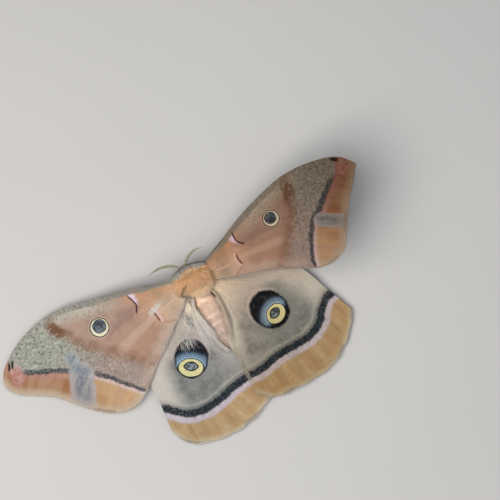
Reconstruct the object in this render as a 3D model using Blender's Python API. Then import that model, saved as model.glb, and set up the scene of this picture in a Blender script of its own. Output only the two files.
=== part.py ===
"""Polyphemus moth with its wings spread, resting on the floor on its six feet.

Sizes are in millimetres: +X is the moth's left, -Y its head end and +Z up. The meshes are
written in metres, with the middle of the whole moth's box over the origin.
"""

import math

import bmesh
import bpy
import numpy as np

MM = 0.001
GAP = 0.3
SIDES = (("left", 1), ("right", -1))
FLAT_ANGLE = math.radians(0.4)

# Thorax: the core that everything grows from.
THORAX_CENTRE = np.array((0.0, 0.0, 8.3))
THORAX_CORE = np.array((4.6, 5.4, 4.4))

# Locks of wool: rows from the front of the thorax to its rear, and how many stand in each.
LOCK_ROWS = ((-72, 4), (-56, 8), (-36, 9), (-15, 10), (7, 10), (29, 9), (50, 7))
LOCK_ARC = 118
LOCK_LENGTH = 4.5
LOCK_HALF_WIDTH = 1.2
LOCK_THICKNESS = 0.52
LOCK_SUNK = 0.6
LOCK_SEED = 7

# Head, tucked low under the front of the thorax and turned a little to the left.
HEAD_CENTRE = np.array((0.9, -5.5, 6.0))
HEAD_HALF = np.array((2.0, 1.7, 1.9))
FACE_LOCKS = ((-32, 52), (0, 60), (32, 52), (-22, 22), (22, 22), (0, 32), (-15, -8), (15, -8))
FACE_LOCK_SIZE = (1.1, 0.6, 0.5)
EYE_RADIUS = 1.0
EYE_OUT = 1.7
EYE_FORWARD = 0.5

# Abdomen: where it starts and ends, its widest half sizes, and the height of its middle line.
ABDOMEN_START = 3.0
ABDOMEN_END = 27.2
ABDOMEN_HALF_WIDTH = 4.4
ABDOMEN_HALF_HEIGHT = 4.1
ABDOMEN_HEIGHTS = (7.8, 7.0, 5.7, 3.7)
ABDOMEN_SHIFTS = (0.3, 0.7, 1.3, 2.2)
ABDOMEN_RINGS = 8
ABDOMEN_RING_DEPTH = 0.16

# Wings: the membrane, and the ridge that each vein raises in it.
WING_THICKNESS = 0.55
VEIN_HALF_WIDTH = 0.3
VEIN_ABOVE = 0.22
VEIN_BELOW = 0.12
WING_ROOT = np.array((4.0, 0.0))
ROOT_GAP = 0.34
FOREWING_ROOT_HEIGHT = 9.9
HINDWING_ROOT_HEIGHT = 8.4

# How the wings fall from their roots: the reach of the slope, and the height left at the margin.
WING_SLOPE_REACH = 30.0
FOREWING_MARGIN_HEIGHT = 2.9
FOREWING_TIP_DROP = 1.3
HINDWING_MARGIN_HEIGHT = 1.6

# The right forewing is held up: the way it lifts, its slope at the root, and the radius of its curl.
LIFT_TURN = 30.0
LIFT_SLOPE = 0.12
LIFT_RADIUS = 80.0

# The right hindwing passes over the left one behind the abdomen by this much.
HINDWING_STEP = 1.4

# Outlines seen from above, X out from the body, from the root outwards.
FOREWING_LEFT = {
    "root": (-48, 20),
    "lead": ((13.8, -7.6), (24.0, -11.3), (34.8, -14.2), (45.7, -17.1), (57.7, -16.8), (70.6, -11.9), (75.1, -8.4)),
    "apex": (76.9, -5.2),
    "outer": ((76.4, -2.4), (74.0, 0.8), (69.2, 4.2), (63.9, 8.0), (55.4, 18.2), (47.0, 24.8), (40.5, 25.8)),
    "tornus": (34.8, 23.5),
    "inner": ((12.6, 7.7), (22.2, 14.2)),
    "rows": 20,
}
FOREWING_RIGHT = {
    "root": (-48, 20),
    "lead": ((15.0, -7.5), (25.5, -11.3), (35.1, -13.7), (44.0, -15.1), (54.9, -13.8), (63.8, -9.7)),
    "apex": (66.7, -5.2),
    "outer": ((63.2, -0.9), (58.6, 3.9), (52.7, 11.9), (48.3, 17.0), (43.4, 18.6)),
    "tornus": (38.3, 17.9),
    "inner": ((15.5, 6.6), (21.8, 8.9), (30.3, 13.3)),
    "rows": 20,
}
HINDWING_LEFT = {
    "root": (10, 42),
    "lead": ((14.0, 4.5), (24.5, 11.5), (31.3, 18.0), (33.5, 30.1)),
    "apex": (35.2, 41.0),
    "outer": ((32.1, 47.2), (22.3, 51.7), (8.7, 52.0), (-1.0, 48.4)),
    "tornus": (-10.0, 43.4),
    "inner": ((5.2, 9.8), (5.0, 17.0), (3.9, 23.5), (0.9, 29.6)),
    "rows": 17,
}
HINDWING_RIGHT = {
    "root": (10, 42),
    "lead": ((14.0, 3.0), (24.5, 7.0), (32.0, 12.5), (38.4, 27.9)),
    "apex": (41.7, 37.6),
    "outer": ((37.5, 42.9), (26.1, 50.4), (11.6, 50.8), (1.4, 48.6)),
    "tornus": (-2.7, 44.8),
    "inner": ((4.0, 9.9), (1.9, 19.0), (-1.7, 32.2)),
    "rows": 17,
}

# Veins: place from the leading edge (0) to the inner margin (1), and where each one starts.
FOREWING_VEINS = (
    (0.09, 0.0),
    (0.26, 0.42),
    (0.39, 0.46),
    (0.52, 0.46),
    (0.65, 0.0),
    (0.79, 0.3),
    (0.93, 0.0),
)
HINDWING_VEINS = ((0.08, 0.0), (0.25, 0.34), (0.41, 0.42), (0.56, 0.42), (0.71, 0.0), (0.87, 0.0))
VEIN_RISE = 0.08
VEIN_FADE = 0.55

# Legs: knee and foot points, left side, from the thorax out to the claws.
LEG_PATHS = {
    "front": ((6.0, -4.0, 4.9), (8.9, -4.9, 4.3), (11.4, -5.3, 1.7), (12.5, -5.5, 0.4), (15.1, -6.3, 0.34)),
    "mid": ((7.2, 0.9, 5.2), (9.6, 1.3, 4.7), (11.6, 1.8, 1.7), (12.6, 2.1, 0.4), (15.2, 2.7, 0.34)),
    "hind": ((7.6, 6.6, 4.7), (9.4, 9.2, 4.3), (11.2, 12.2, 1.6), (11.9, 13.6, 0.4), (13.2, 16.2, 0.34)),
}
LEG_ROOTS = {"front": (0.6, -0.38, -0.7), "mid": (0.68, 0.04, -0.73), "hind": (0.55, 0.52, -0.65)}
LEG_RADII = (0.85, 0.85, 0.7, 0.62, 0.5, 0.42)
LEG_RINGS = 15
LEG_SIDES = 8

# Feelers, from the head outwards.
ANTENNA_PATHS = {
    "left": ((1.95, -6.8, 7.65), (2.6, -7.8, 8.9), (4.4, -9.3, 9.6), (8.1, -10.6, 9.8), (12.9, -10.5, 9.0)),
    "right": ((-0.15, -6.8, 7.65), (-1.3, -7.9, 9.5), (-3.4, -9.0, 12.1), (-5.6, -9.5, 14.0), (-8.7, -9.0, 15.8)),
}
ANTENNA_RADIUS = 0.32
ANTENNA_PAIRS = 13
ANTENNA_BRANCH = 1.05

COLOURS = {
    "head": (0.16, 0.07, 0.035, 0.9),
    "thorax": (0.50, 0.25, 0.11, 0.95),
    "abdomen": (0.55, 0.33, 0.22, 0.95),
    "eye": (0.012, 0.009, 0.008, 0.25),
    "antenna": (0.33, 0.19, 0.09, 0.7),
    "forewing": (0.52, 0.33, 0.19, 0.85),
    "hindwing": (0.50, 0.35, 0.22, 0.85),
    "leg": (0.30, 0.14, 0.07, 0.9),
}


def smooth_step(value):
    """0 below 0, 1 above 1, and an easy curve between."""
    t = np.clip(value, 0.0, 1.0)
    return t * t * (3 - 2 * t)


def curve_through(points):
    """A function from 0..1 to a smooth curve through the points, evenly by length."""
    points = np.asarray(points, float)
    knots = np.concatenate([[0], np.cumsum(np.linalg.norm(np.diff(points, axis=0), axis=1))])
    knots /= knots[-1]
    slopes = np.gradient(points, knots, axis=0)

    def at(t):
        t = np.clip(np.asarray(t, float), 0.0, 1.0)
        span = np.clip(np.searchsorted(knots, t, side="right") - 1, 0, len(knots) - 2)
        width = (knots[span + 1] - knots[span])[..., None]
        s = (t[..., None] - knots[span][..., None]) / width
        ends = (1 + 2 * s) * (1 - s) ** 2 * points[span] + s * s * (3 - 2 * s) * points[span + 1]
        bends = s * (1 - s) ** 2 * slopes[span] - s * s * (1 - s) * slopes[span + 1]
        return ends + bends * width

    return at


def material(kind):
    """The plain finish of one kind of node."""
    if kind in bpy.data.materials:
        return bpy.data.materials[kind]
    made = bpy.data.materials.new(kind)
    made.use_nodes = True
    shader = made.node_tree.nodes["Principled BSDF"]
    *colour, roughness = COLOURS[kind]
    shader.inputs["Base Color"].default_value = (*colour, 1.0)
    shader.inputs["Roughness"].default_value = roughness
    shader.inputs["Metallic"].default_value = 0.0
    return made


def mesh_object(name, points, faces, helper=False):
    """A closed mesh object with its faces pointing out. A helper isn't rendered."""
    mesh = bpy.data.meshes.new(name)
    mesh.from_pydata([tuple(p) for p in np.asarray(points, float) * MM], [], faces)
    shape = bmesh.new()
    shape.from_mesh(mesh)
    bmesh.ops.recalc_face_normals(shape, faces=shape.faces)
    if shape.calc_volume(signed=True) < 0:
        bmesh.ops.reverse_faces(shape, faces=shape.faces)
    shape.to_mesh(mesh)
    shape.free()
    mesh.shade_smooth()
    obj = bpy.data.objects.new(name, mesh)
    bpy.context.scene.collection.objects.link(obj)
    if helper:
        obj.hide_render = True
        obj.display_type = "WIRE"
    else:
        mesh.materials.append(material(name.split("_")[0]))
    return obj


def ellipsoid(name, centre, half, around=20, down=12, helper=False):
    """A ball stretched to its half sizes."""
    shape = bmesh.new()
    bmesh.ops.create_uvsphere(shape, u_segments=around, v_segments=down, radius=1.0)
    bmesh.ops.triangulate(shape, faces=shape.faces)
    points = np.array([v.co for v in shape.verts]) * half + centre
    faces = [[v.index for v in face.verts] for face in shape.faces]
    shape.free()
    return mesh_object(name, points, faces, helper)


def loft_faces(rings, sides):
    """Triangles over rings of points, closed by a fan at each end."""
    faces = []
    for ring in range(rings - 1):
        for side in range(sides):
            a = ring * sides + side
            b = ring * sides + (side + 1) % sides
            faces += [(a, b, a + sides), (b, b + sides, a + sides)]
    first, last = rings * sides, rings * sides + 1
    for side in range(sides):
        after = (side + 1) % sides
        faces.append((first, after, side))
        faces.append((last, (rings - 1) * sides + side, (rings - 1) * sides + after))
    return faces


def loft(name, centres, half_widths, half_heights, sides, helper=False, floor=None):
    """A tube along a path: each ring square to it, wide across and high along the upright."""
    centres = np.asarray(centres, float)
    along = np.gradient(centres, axis=0)
    along /= np.linalg.norm(along, axis=1)[:, None]
    across = np.cross(along, (0.0, 0.0, 1.0))
    across /= np.linalg.norm(across, axis=1)[:, None]
    upright = np.cross(across, along)
    turns = np.linspace(0, 2 * math.pi, sides, endpoint=False) + math.pi / sides
    points = [
        centre + side * (w * math.cos(turn)) + up * (h * math.sin(turn))
        for centre, side, up, w, h in zip(centres, across, upright, half_widths, half_heights)
        for turn in turns
    ]
    points += [centres[0], centres[-1]]
    points = np.array(points)
    if floor is not None:
        points[:, 2] = np.maximum(points[:, 2], floor)
    return mesh_object(name, points, loft_faces(len(centres), sides), helper)


def applied(obj):
    """Turns the object's modifiers into its mesh and keeps its largest closed surface."""
    graph = bpy.context.evaluated_depsgraph_get()
    mesh = bpy.data.meshes.new_from_object(obj.evaluated_get(graph))
    obj.modifiers.clear()
    obj.data = mesh
    shape = bmesh.new()
    shape.from_mesh(mesh)
    unseen = set(shape.verts)
    bodies = []
    while unseen:
        body, edge = set(), {unseen.pop()}
        while edge:
            vert = edge.pop()
            body.add(vert)
            edge |= {e.other_vert(vert) for e in vert.link_edges} - body
        unseen -= body
        bodies.append(body)
    largest = max(bodies, key=lambda body: np.ptp([v.co for v in body], axis=0).prod())
    loose = [v for body in bodies if body is not largest for v in body]
    bmesh.ops.delete(shape, geom=loose, context="VERTS")
    bmesh.ops.dissolve_limit(shape, angle_limit=FLAT_ANGLE, verts=shape.verts, edges=shape.edges)
    bmesh.ops.triangulate(shape, faces=shape.faces)
    shape.to_mesh(mesh)
    shape.free()
    mesh.shade_smooth()


def combine(obj, others, operation):
    """Cuts the others out of the object, or joins them to it, and removes them."""
    for other in others:
        modifier = obj.modifiers.new(other.name, "BOOLEAN")
        modifier.operation = operation
        modifier.object = other
    applied(obj)
    for other in others:
        bpy.data.objects.remove(other)


def join_all(obj, pieces):
    """Joins the pieces to the object in one union and removes them."""
    group = bpy.data.collections.new("pieces_" + obj.name)
    bpy.context.scene.collection.children.link(group)
    for piece in pieces:
        group.objects.link(piece)
        bpy.context.scene.collection.objects.unlink(piece)
    modifier = obj.modifiers.new("pieces", "BOOLEAN")
    modifier.operation = "UNION"
    modifier.operand_type = "COLLECTION"
    modifier.collection = group
    modifier.solver = "MANIFOLD"
    applied(obj)
    for piece in pieces:
        bpy.data.objects.remove(piece)
    bpy.data.collections.remove(group)


def core_point(direction, out):
    """The point this far outside the thorax core, in that direction from its centre."""
    direction = np.asarray(direction, float)
    on_core = direction / np.linalg.norm(direction / THORAX_CORE)
    return THORAX_CENTRE + on_core + direction / np.linalg.norm(direction) * out


def core_socket():
    """A helper a gap larger than the thorax core, for what meets it."""
    return ellipsoid("socket", THORAX_CENTRE, THORAX_CORE + GAP, 18, 12, True)


def core_edge(angle, height):
    """The point seen from above where a wing at this height meets the thorax core."""
    level = (height - WING_THICKNESS / 2 - THORAX_CENTRE[2]) / THORAX_CORE[2]
    shrink = math.sqrt(1 - level * level)
    half = THORAX_CORE[:2] * shrink + ROOT_GAP
    turn = math.radians(angle)
    return half * (math.cos(turn), math.sin(turn))


def abdomen_at(y):
    """Centre X, centre Z, half width and half height of the abdomen at a place along it."""
    t = np.clip((np.asarray(y, float) - ABDOMEN_START) / (ABDOMEN_END - ABDOMEN_START), 0.0, 1.0)
    centre_z = np.interp(t, (0, 0.2, 0.6, 1), ABDOMEN_HEIGHTS)
    fullness = np.sqrt(np.maximum(1 - np.maximum(t - 0.25, 0) ** 2 / 0.75 ** 2, 0))
    fullness = fullness * (0.62 + 0.38 * smooth_step((t + 0.05) / 0.3))
    centre_x = np.interp(t, (0, 0.2, 0.6, 1), ABDOMEN_SHIFTS)
    return centre_x, centre_z, ABDOMEN_HALF_WIDTH * fullness, ABDOMEN_HALF_HEIGHT * fullness


def over_abdomen(side, x, y):
    """How high a wing has to lie to clear the abdomen's back."""
    centre_x, centre_z, half_width, half_height = abdomen_at(y)
    across = (x - side * centre_x) / (half_width + 1.2)
    lift = (half_height + 1.0) * np.sqrt(np.maximum(1 - across ** 2, 0))
    here = smooth_step((y - 2.2) / 2.2) * smooth_step((ABDOMEN_END + 1.5 - y) / 2) * (np.abs(across) < 1)
    return centre_z - 3.0 + here * (lift + 3.0)


def highest(first, second, softness=0.5):
    """The larger of two heights, rounded where they cross."""
    return 0.5 * (first + second + np.sqrt((first - second) ** 2 + softness ** 2))


def forewing_left_height(x, y):
    out = np.hypot(x - WING_ROOT[0], y - WING_ROOT[1])
    fall = (FOREWING_ROOT_HEIGHT - FOREWING_MARGIN_HEIGHT) * np.exp(-((out / WING_SLOPE_REACH) ** 2))
    return FOREWING_MARGIN_HEIGHT + fall - FOREWING_TIP_DROP * smooth_step((out - 45) / 30)


def forewing_right_height(x, y):
    """Held up, and curling further up towards its outer margin."""
    turn = math.radians(LIFT_TURN)
    out = np.maximum((x - WING_ROOT[0]) * math.cos(turn) + (y - WING_ROOT[1]) * math.sin(turn), 0)
    return FOREWING_ROOT_HEIGHT + LIFT_SLOPE * out + out ** 2 / (2 * LIFT_RADIUS)


def hindwing_base_height(x, y):
    out = np.hypot(x - WING_ROOT[0], y - WING_ROOT[1])
    fall = (HINDWING_ROOT_HEIGHT - HINDWING_MARGIN_HEIGHT) * np.exp(-((out / WING_SLOPE_REACH) ** 2))
    return HINDWING_MARGIN_HEIGHT + fall


def hindwing_left_height(x, y):
    return highest(hindwing_base_height(x, y), over_abdomen(1, x, y))


def hindwing_right_height(x, y):
    """Lies over the left hindwing behind the abdomen."""
    lift = HINDWING_STEP * smooth_step((20 - x) / 8) * smooth_step((y - 16) / 8)
    return highest(hindwing_base_height(x, y) + lift, over_abdomen(-1, x, y))


def wing_plan(wing, root_height):
    """A function from (u, w) to the wing's plan: u from root to margin, w from front to rear."""
    front, rear = (core_edge(angle, root_height) for angle in wing["root"])
    lead = curve_through([front, *wing["lead"], wing["apex"]])
    inner = curve_through([rear, *wing["inner"], wing["tornus"]])
    outer = curve_through([wing["apex"], *wing["outer"], wing["tornus"]])
    angles = np.linspace(*wing["root"], 9)
    root = curve_through([core_edge(angle, root_height) for angle in angles])
    apex, tornus = np.array(wing["apex"]), np.array(wing["tornus"])

    def at(u, w):
        a, b = u[..., None], w[..., None]
        sides = (1 - b) * lead(u) + b * inner(u) + (1 - a) * root(w) + a * outer(w)
        near = (1 - a) * ((1 - b) * front + b * rear)
        far = a * ((1 - b) * apex + b * tornus)
        return sides - near - far

    return at


def wing_columns(veins, chord):
    """For each row of a wing, the places of its columns, three to a vein."""
    spread = VEIN_HALF_WIDTH / chord
    columns = [np.zeros_like(chord)]
    for place, _ in veins:
        columns += [place - spread, np.full_like(chord, place), place + spread]
    columns.append(np.ones_like(chord))
    return np.stack(columns, axis=1)


def vein_heights(veins, u):
    """For each row of a wing, how far its columns stand up: only at the crest of a vein."""
    heights = [np.zeros_like(u)]
    for _, start in veins:
        begin = np.ones_like(u) if start == 0 else smooth_step((u - start) / VEIN_RISE)
        heights += [np.zeros_like(u), begin * (1 - VEIN_FADE * u), np.zeros_like(u)]
    heights.append(np.zeros_like(u))
    return np.stack(heights, axis=1)


def sheet_faces(rows, columns):
    """Triangles over two like grids of points, top and bottom, cut the same way, and their rim."""
    count = rows * columns
    faces = []
    for row in range(rows - 1):
        for column in range(columns - 1):
            a = row * columns + column
            b, c, d = a + 1, a + columns + 1, a + columns
            faces += [(a, b, c), (a, c, d)]
            faces += [(count + a, count + c, count + b), (count + a, count + d, count + c)]
    rim = list(range(columns))
    rim += [row * columns + columns - 1 for row in range(1, rows)]
    rim += [(rows - 1) * columns + column for column in range(columns - 2, -1, -1)]
    rim += [row * columns for row in range(rows - 2, 0, -1)]
    for a, b in zip(rim, rim[1:] + rim[:1]):
        faces += [(a, count + a, count + b), (a, count + b, b)]
    return faces


def steepness(height, plan):
    """How much longer an upright thickness is than one square to the sloping wing."""
    step = 0.05
    x, y = plan[..., 0], plan[..., 1]
    slope_x = (height(x + step, y) - height(x - step, y)) / (2 * step)
    slope_y = (height(x, y + step) - height(x, y - step)) / (2 * step)
    return np.minimum(np.sqrt(1 + slope_x ** 2 + slope_y ** 2), 1.8)


def make_wing(name, wing, side, veins, height, root_height):
    """One wing: a thin sheet from its root to its margin, with its veins raised in it."""
    plan = wing_plan(wing, root_height)
    u = np.linspace(0, 1, wing["rows"])
    chord = np.linalg.norm(plan(u, np.ones_like(u)) - plan(u, np.zeros_like(u)), axis=1)
    w = wing_columns(veins, chord)
    places = plan(np.broadcast_to(u[:, None], w.shape), w)
    middle = height(places[..., 0], places[..., 1])
    half = WING_THICKNESS / 2 * steepness(height, places)
    vein = vein_heights(veins, u)
    top = np.dstack([side * places[..., 0], places[..., 1], middle + half + VEIN_ABOVE * vein])
    bottom = np.dstack([side * places[..., 0], places[..., 1], middle - half - VEIN_BELOW * vein])
    points = np.concatenate([top.reshape(-1, 3), bottom.reshape(-1, 3)])
    return mesh_object(name, points, sheet_faces(*w.shape))


def wing_slot(name, wing, side, height, root_height):
    """A helper round a wing's root, a gap wider than the wing, that reaches into the thorax core."""
    plan = wing_plan(wing, root_height)
    u = np.linspace(0, 0.3, 9)
    w = np.broadcast_to(np.linspace(0, 1, 5), (9, 5))
    places = plan(np.broadcast_to(u[:, None], w.shape), w)
    front, rear = places[:, :1], places[:, -1:]
    outward = (rear - front) / np.linalg.norm(rear - front, axis=-1, keepdims=True) * (GAP + 0.6)
    places = np.concatenate([front - outward, places, rear + outward], axis=1)
    inward = (places[0] - places[1]) / np.linalg.norm(places[0] - places[1], axis=-1, keepdims=True)
    places = np.concatenate([places[:1] + inward, places], axis=0)
    middle = height(places[..., 0], places[..., 1])
    reach = WING_THICKNESS / 2 * steepness(height, places) + VEIN_ABOVE + 1.6 * GAP
    top = np.dstack([side * places[..., 0], places[..., 1], middle + reach])
    bottom = np.dstack([side * places[..., 0], places[..., 1], middle - reach])
    points = np.concatenate([top.reshape(-1, 3), bottom.reshape(-1, 3)])
    return mesh_object(name, points, sheet_faces(*places.shape[:2]), helper=True)


WINGS = {
    "forewing_left": (FOREWING_LEFT, 1, FOREWING_VEINS, forewing_left_height, FOREWING_ROOT_HEIGHT),
    "forewing_right": (FOREWING_RIGHT, -1, FOREWING_VEINS, forewing_right_height, FOREWING_ROOT_HEIGHT),
    "hindwing_left": (HINDWING_LEFT, 1, HINDWING_VEINS, hindwing_left_height, HINDWING_ROOT_HEIGHT),
    "hindwing_right": (HINDWING_RIGHT, -1, HINDWING_VEINS, hindwing_right_height, HINDWING_ROOT_HEIGHT),
}


def make_wings():
    for name, wing in WINGS.items():
        make_wing(name, *wing)


def wing_slots():
    return [
        wing_slot("slot_" + name, wing, side, height, root_height)
        for name, (wing, side, _, height, root_height) in WINGS.items()
    ]


def leg_course(pair, side, rings):
    """Centres and radii of one leg, from inside the thorax core to its claws."""
    t = np.linspace(0, 1, rings)
    points = np.array([core_point(LEG_ROOTS[pair], -0.6), *LEG_PATHS[pair]]) * (side, 1, 1)
    return curve_through(points)(t), np.interp(t, np.linspace(0, 1, len(LEG_RADII)), LEG_RADII)


def make_legs():
    """Six legs: thigh, shin and a foot that lies flat on the floor."""
    for pair in LEG_PATHS:
        for name, side in SIDES:
            centres, radii = leg_course(pair, side, LEG_RINGS)
            leg = loft(f"leg_{pair}_{name}", centres, radii, radii, LEG_SIDES, floor=0.0)
            combine(leg, [core_socket()], "DIFFERENCE")


def leg_sleeves():
    """Helpers round the tops of the legs, a gap wider than them."""
    sleeves = []
    for pair in LEG_PATHS:
        for name, side in SIDES:
            centres, radii = (part[:4] for part in leg_course(pair, side, 9))
            sleeves.append(loft(f"sleeve_{pair}_{name}", centres, radii + 0.4, radii + 0.4, 6, True))
    return sleeves


def make_abdomen():
    """A stout cone of soft rings, hollowed at the front where it meets the thorax."""
    y = np.linspace(ABDOMEN_START, ABDOMEN_END, 25)
    y[-1] -= 0.15
    centre_x, centre_z, half_width, half_height = abdomen_at(y)
    rings = (y - ABDOMEN_START) / (ABDOMEN_END - ABDOMEN_START) * ABDOMEN_RINGS
    groove = ABDOMEN_RING_DEPTH * np.abs(np.cos(np.pi * rings)) ** 3 * (half_width > 1.5)
    centres = np.stack([centre_x, y, centre_z], axis=1)
    abdomen = loft("abdomen", centres, half_width - groove, half_height - groove, 18)
    combine(abdomen, [core_socket()], "DIFFERENCE")


def abdomen_sleeve():
    """A helper round the front of the abdomen, a gap wider than it."""
    y = np.linspace(ABDOMEN_START, ABDOMEN_START + 9, 7)
    centre_x, centre_z, half_width, half_height = abdomen_at(y)
    centres = np.stack([centre_x, y, centre_z], axis=1)
    return loft("sleeve_abdomen", centres, half_width + 0.45, half_height + 0.45, 14, True)


def eye_place(side):
    return HEAD_CENTRE + (side * EYE_OUT, -EYE_FORWARD, -0.1)


def make_head():
    """Head and eyes. The head is hollowed for the eyes, and behind where it meets the thorax."""
    head = ellipsoid("head", HEAD_CENTRE, HEAD_HALF, 16, 10)
    cutters = [core_socket()]
    for name, side in SIDES:
        place = eye_place(side)
        ellipsoid("eye_" + name, place, np.full(3, EYE_RADIUS), 14, 9)
        cutters.append(ellipsoid("socket_" + name, place, np.full(3, EYE_RADIUS + GAP), 14, 9, True))
    join_all(head, [*head_locks(), *palps()])
    combine(head, cutters, "DIFFERENCE")


def head_locks():
    """A tuft of short locks over the face, lying forwards and down from the crown."""
    locks = []
    for turn, tilt in FACE_LOCKS:
        around, up = math.radians(turn), math.radians(tilt)
        unit = np.array((math.sin(around) * math.cos(up), -math.cos(around) * math.cos(up), math.sin(up)))
        outward = unit / HEAD_HALF
        outward /= np.linalg.norm(outward)
        lie = np.array((0.3 * unit[0], -0.35, -0.9))
        lie -= outward * np.dot(lie, outward)
        lie /= np.linalg.norm(lie)
        locks.append(lock(HEAD_CENTRE + unit * HEAD_HALF, outward, lie, *FACE_LOCK_SIZE))
    return locks


def palps():
    """Two small blunt feelers below the face."""
    made = []
    for name, side in SIDES:
        start = HEAD_CENTRE + (side * 0.6, -1.1, -1.4)
        centres = np.array([start, start + (0, -0.8, -0.3), start + (0, -1.4, 0.1)])
        made.append(loft("palp", centres, (0.42, 0.45, 0.25), (0.42, 0.45, 0.25), 6, True))
    return made


def head_sleeves():
    """Helpers a gap larger than the head and eyes."""
    head = ellipsoid("sleeve_head", HEAD_CENTRE, HEAD_HALF * 1.04 + GAP, 14, 9, True)
    size = np.full(3, EYE_RADIUS * 1.05 + GAP)
    return [head, *(ellipsoid("sleeve_eye", eye_place(side), size, 10, 7, True) for _, side in SIDES)]


def antenna_shaft(name, course):
    """A four-sided tapered shaft with a ring at each edge of each branch."""
    pitch = 1 / ANTENNA_PAIRS
    starts = pitch * (np.arange(ANTENNA_PAIRS) + 0.5)
    places = np.concatenate([[0], np.stack([starts, starts + 0.5 * pitch], axis=1).ravel()])
    centres = course(places)
    along = np.gradient(centres, axis=0)
    across = np.cross(along, (0.0, 0.0, 1.0))
    across /= np.linalg.norm(across, axis=1)[:, None]
    radii = ANTENNA_RADIUS * (1 - 0.35 * places)
    corners = ((-1, -1), (1, -1), (1, 1), (-1, 1))
    points = [
        centre + side * (radius * x) + np.array((0, 0, radius * z))
        for centre, side, radius in zip(centres, across, radii)
        for x, z in corners
    ]
    rings = len(centres)
    faces = [(3, 2, 1, 0), tuple(range(4 * rings - 4, 4 * rings))]
    for ring in range(rings - 1):
        for side in range(4):
            a, b = 4 * ring + side, 4 * ring + (side + 1) % 4
            faces.append((a, b, b + 4, a + 4))
    return mesh_object(name, points, faces)


def make_antennae():
    """Two feelers, each a tapered shaft with short branches drawn out of both its sides."""
    for name, path in ANTENNA_PATHS.items():
        antenna = antenna_shaft("antenna_" + name, curve_through(path))
        shape = bmesh.new()
        shape.from_mesh(antenna.data)
        shape.faces.ensure_lookup_table()
        branched = range(1, 2 * ANTENNA_PAIRS, 2)
        flanks = [shape.faces[2 + 4 * ring + side] for ring in branched for side in (1, 3)]
        ends = bmesh.ops.extrude_discrete_faces(shape, faces=flanks)["faces"]
        for index, end in enumerate(ends):
            place = (index // 2 + 0.5) / ANTENNA_PAIRS
            reach = ANTENNA_BRANCH * (0.45 + 0.55 * math.sin(math.pi * place) ** 0.6) * MM
            centre = end.calc_center_median()
            outward = end.normal.copy()
            along = end.normal.cross((0, 0, 1)).normalized() * (-1 if index % 2 else 1)
            for vert in end.verts:
                vert.co = centre + (vert.co - centre) * 0.5
                vert.co += outward * reach + along * reach * 0.6
                vert.co.z -= 0.2 * reach
        bmesh.ops.triangulate(shape, faces=shape.faces)
        shape.to_mesh(antenna.data)
        shape.free()


def antenna_sleeves():
    """Helpers round the feelers, a gap wider than them."""
    sleeves = []
    for name, path in ANTENNA_PATHS.items():
        size = np.full(4, ANTENNA_BRANCH + 0.45)
        centres = curve_through(path)(np.linspace(0, 0.6, 4))
        sleeves.append(loft("sleeve_antenna_" + name, centres, size, size, 6, True))
    return sleeves


def lock(root, outward, lie, length, half_width, thickness):
    """One flat lock of wool: it leaves the skin at a slant, bends along its lie and ends in a point."""
    spans = np.array((0.0, 0.3, 0.65, 1.0))
    centres = [root - outward * LOCK_SUNK]
    for start, end in zip(spans, spans[1:]):
        turn = smooth_step((start + end) / 2 * 1.6)
        step = lie * (0.55 + 0.6 * turn) + outward * (0.85 - 0.95 * turn)
        centres.append(centres[-1] + step / np.linalg.norm(step) * (length + LOCK_SUNK) * (end - start))
    centres = np.array(centres)
    across = np.cross(lie, outward)
    across /= np.linalg.norm(across)
    widths = half_width * np.array((0.7, 1.0, 0.75, 0.12))
    thicknesses = thickness / 2 * np.array((1.0, 1.0, 0.85, 0.3))
    points = [
        centre + across * (w * x) + outward * (h * z)
        for centre, w, h in zip(centres, widths, thicknesses)
        for x, z in ((-1, -1), (1, -1), (1, 1), (-1, 1))
    ]
    points += [centres[0], centres[-1]]
    return mesh_object("lock", points, loft_faces(len(centres), 4), True)


def make_locks():
    """Rows of locks over the thorax core, lying back and a little outwards, none the same."""
    draw = np.random.default_rng(LOCK_SEED)
    locks = []
    for row, (tilt, count) in enumerate(LOCK_ROWS):
        turns = np.linspace(-LOCK_ARC, LOCK_ARC, count) + (row % 2) * LOCK_ARC / count
        for turn in turns + draw.uniform(-5, 5, count):
            round_body, back = math.radians(turn), math.radians(tilt + draw.uniform(-4, 4))
            unit = np.array((
                math.sin(round_body) * math.cos(back),
                math.sin(back),
                math.cos(round_body) * math.cos(back),
            ))
            root = THORAX_CENTRE + unit * THORAX_CORE
            outward = unit / THORAX_CORE
            outward /= np.linalg.norm(outward)
            lie = np.array((0.35 * unit[0], 1.0, -0.12)) + draw.uniform(-0.12, 0.12, 3)
            lie -= outward * np.dot(lie, outward)
            lie /= np.linalg.norm(lie)
            size = draw.uniform(0.85, 1.12)
            locks.append(lock(root, outward, lie, LOCK_LENGTH * size, LOCK_HALF_WIDTH * size, LOCK_THICKNESS))
    return locks


def make_thorax():
    """The woolly thorax, cut clear of the wings, legs, head, feelers and abdomen."""
    thorax = ellipsoid("thorax", THORAX_CENTRE, THORAX_CORE * 0.97, 18, 12)
    join_all(thorax, make_locks())
    sleeves = [abdomen_sleeve(), *head_sleeves(), *antenna_sleeves(), *leg_sleeves(), *wing_slots()]
    combine(thorax, sleeves, "DIFFERENCE")
    combine(thorax, [ellipsoid("core", THORAX_CENTRE, THORAX_CORE, 18, 12, True)], "UNION")


def centre_on_floor():
    """Moves the meshes so that the middle of the whole box stands over the origin."""
    meshes = [obj.data for obj in bpy.context.scene.objects if not obj.hide_render]
    points = np.concatenate([[v.co for v in mesh.vertices] for mesh in meshes])
    middle = (points.min(axis=0) + points.max(axis=0)) / 2
    for mesh in meshes:
        for vert in mesh.vertices:
            vert.co.x -= middle[0]
            vert.co.y -= middle[1]


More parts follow.
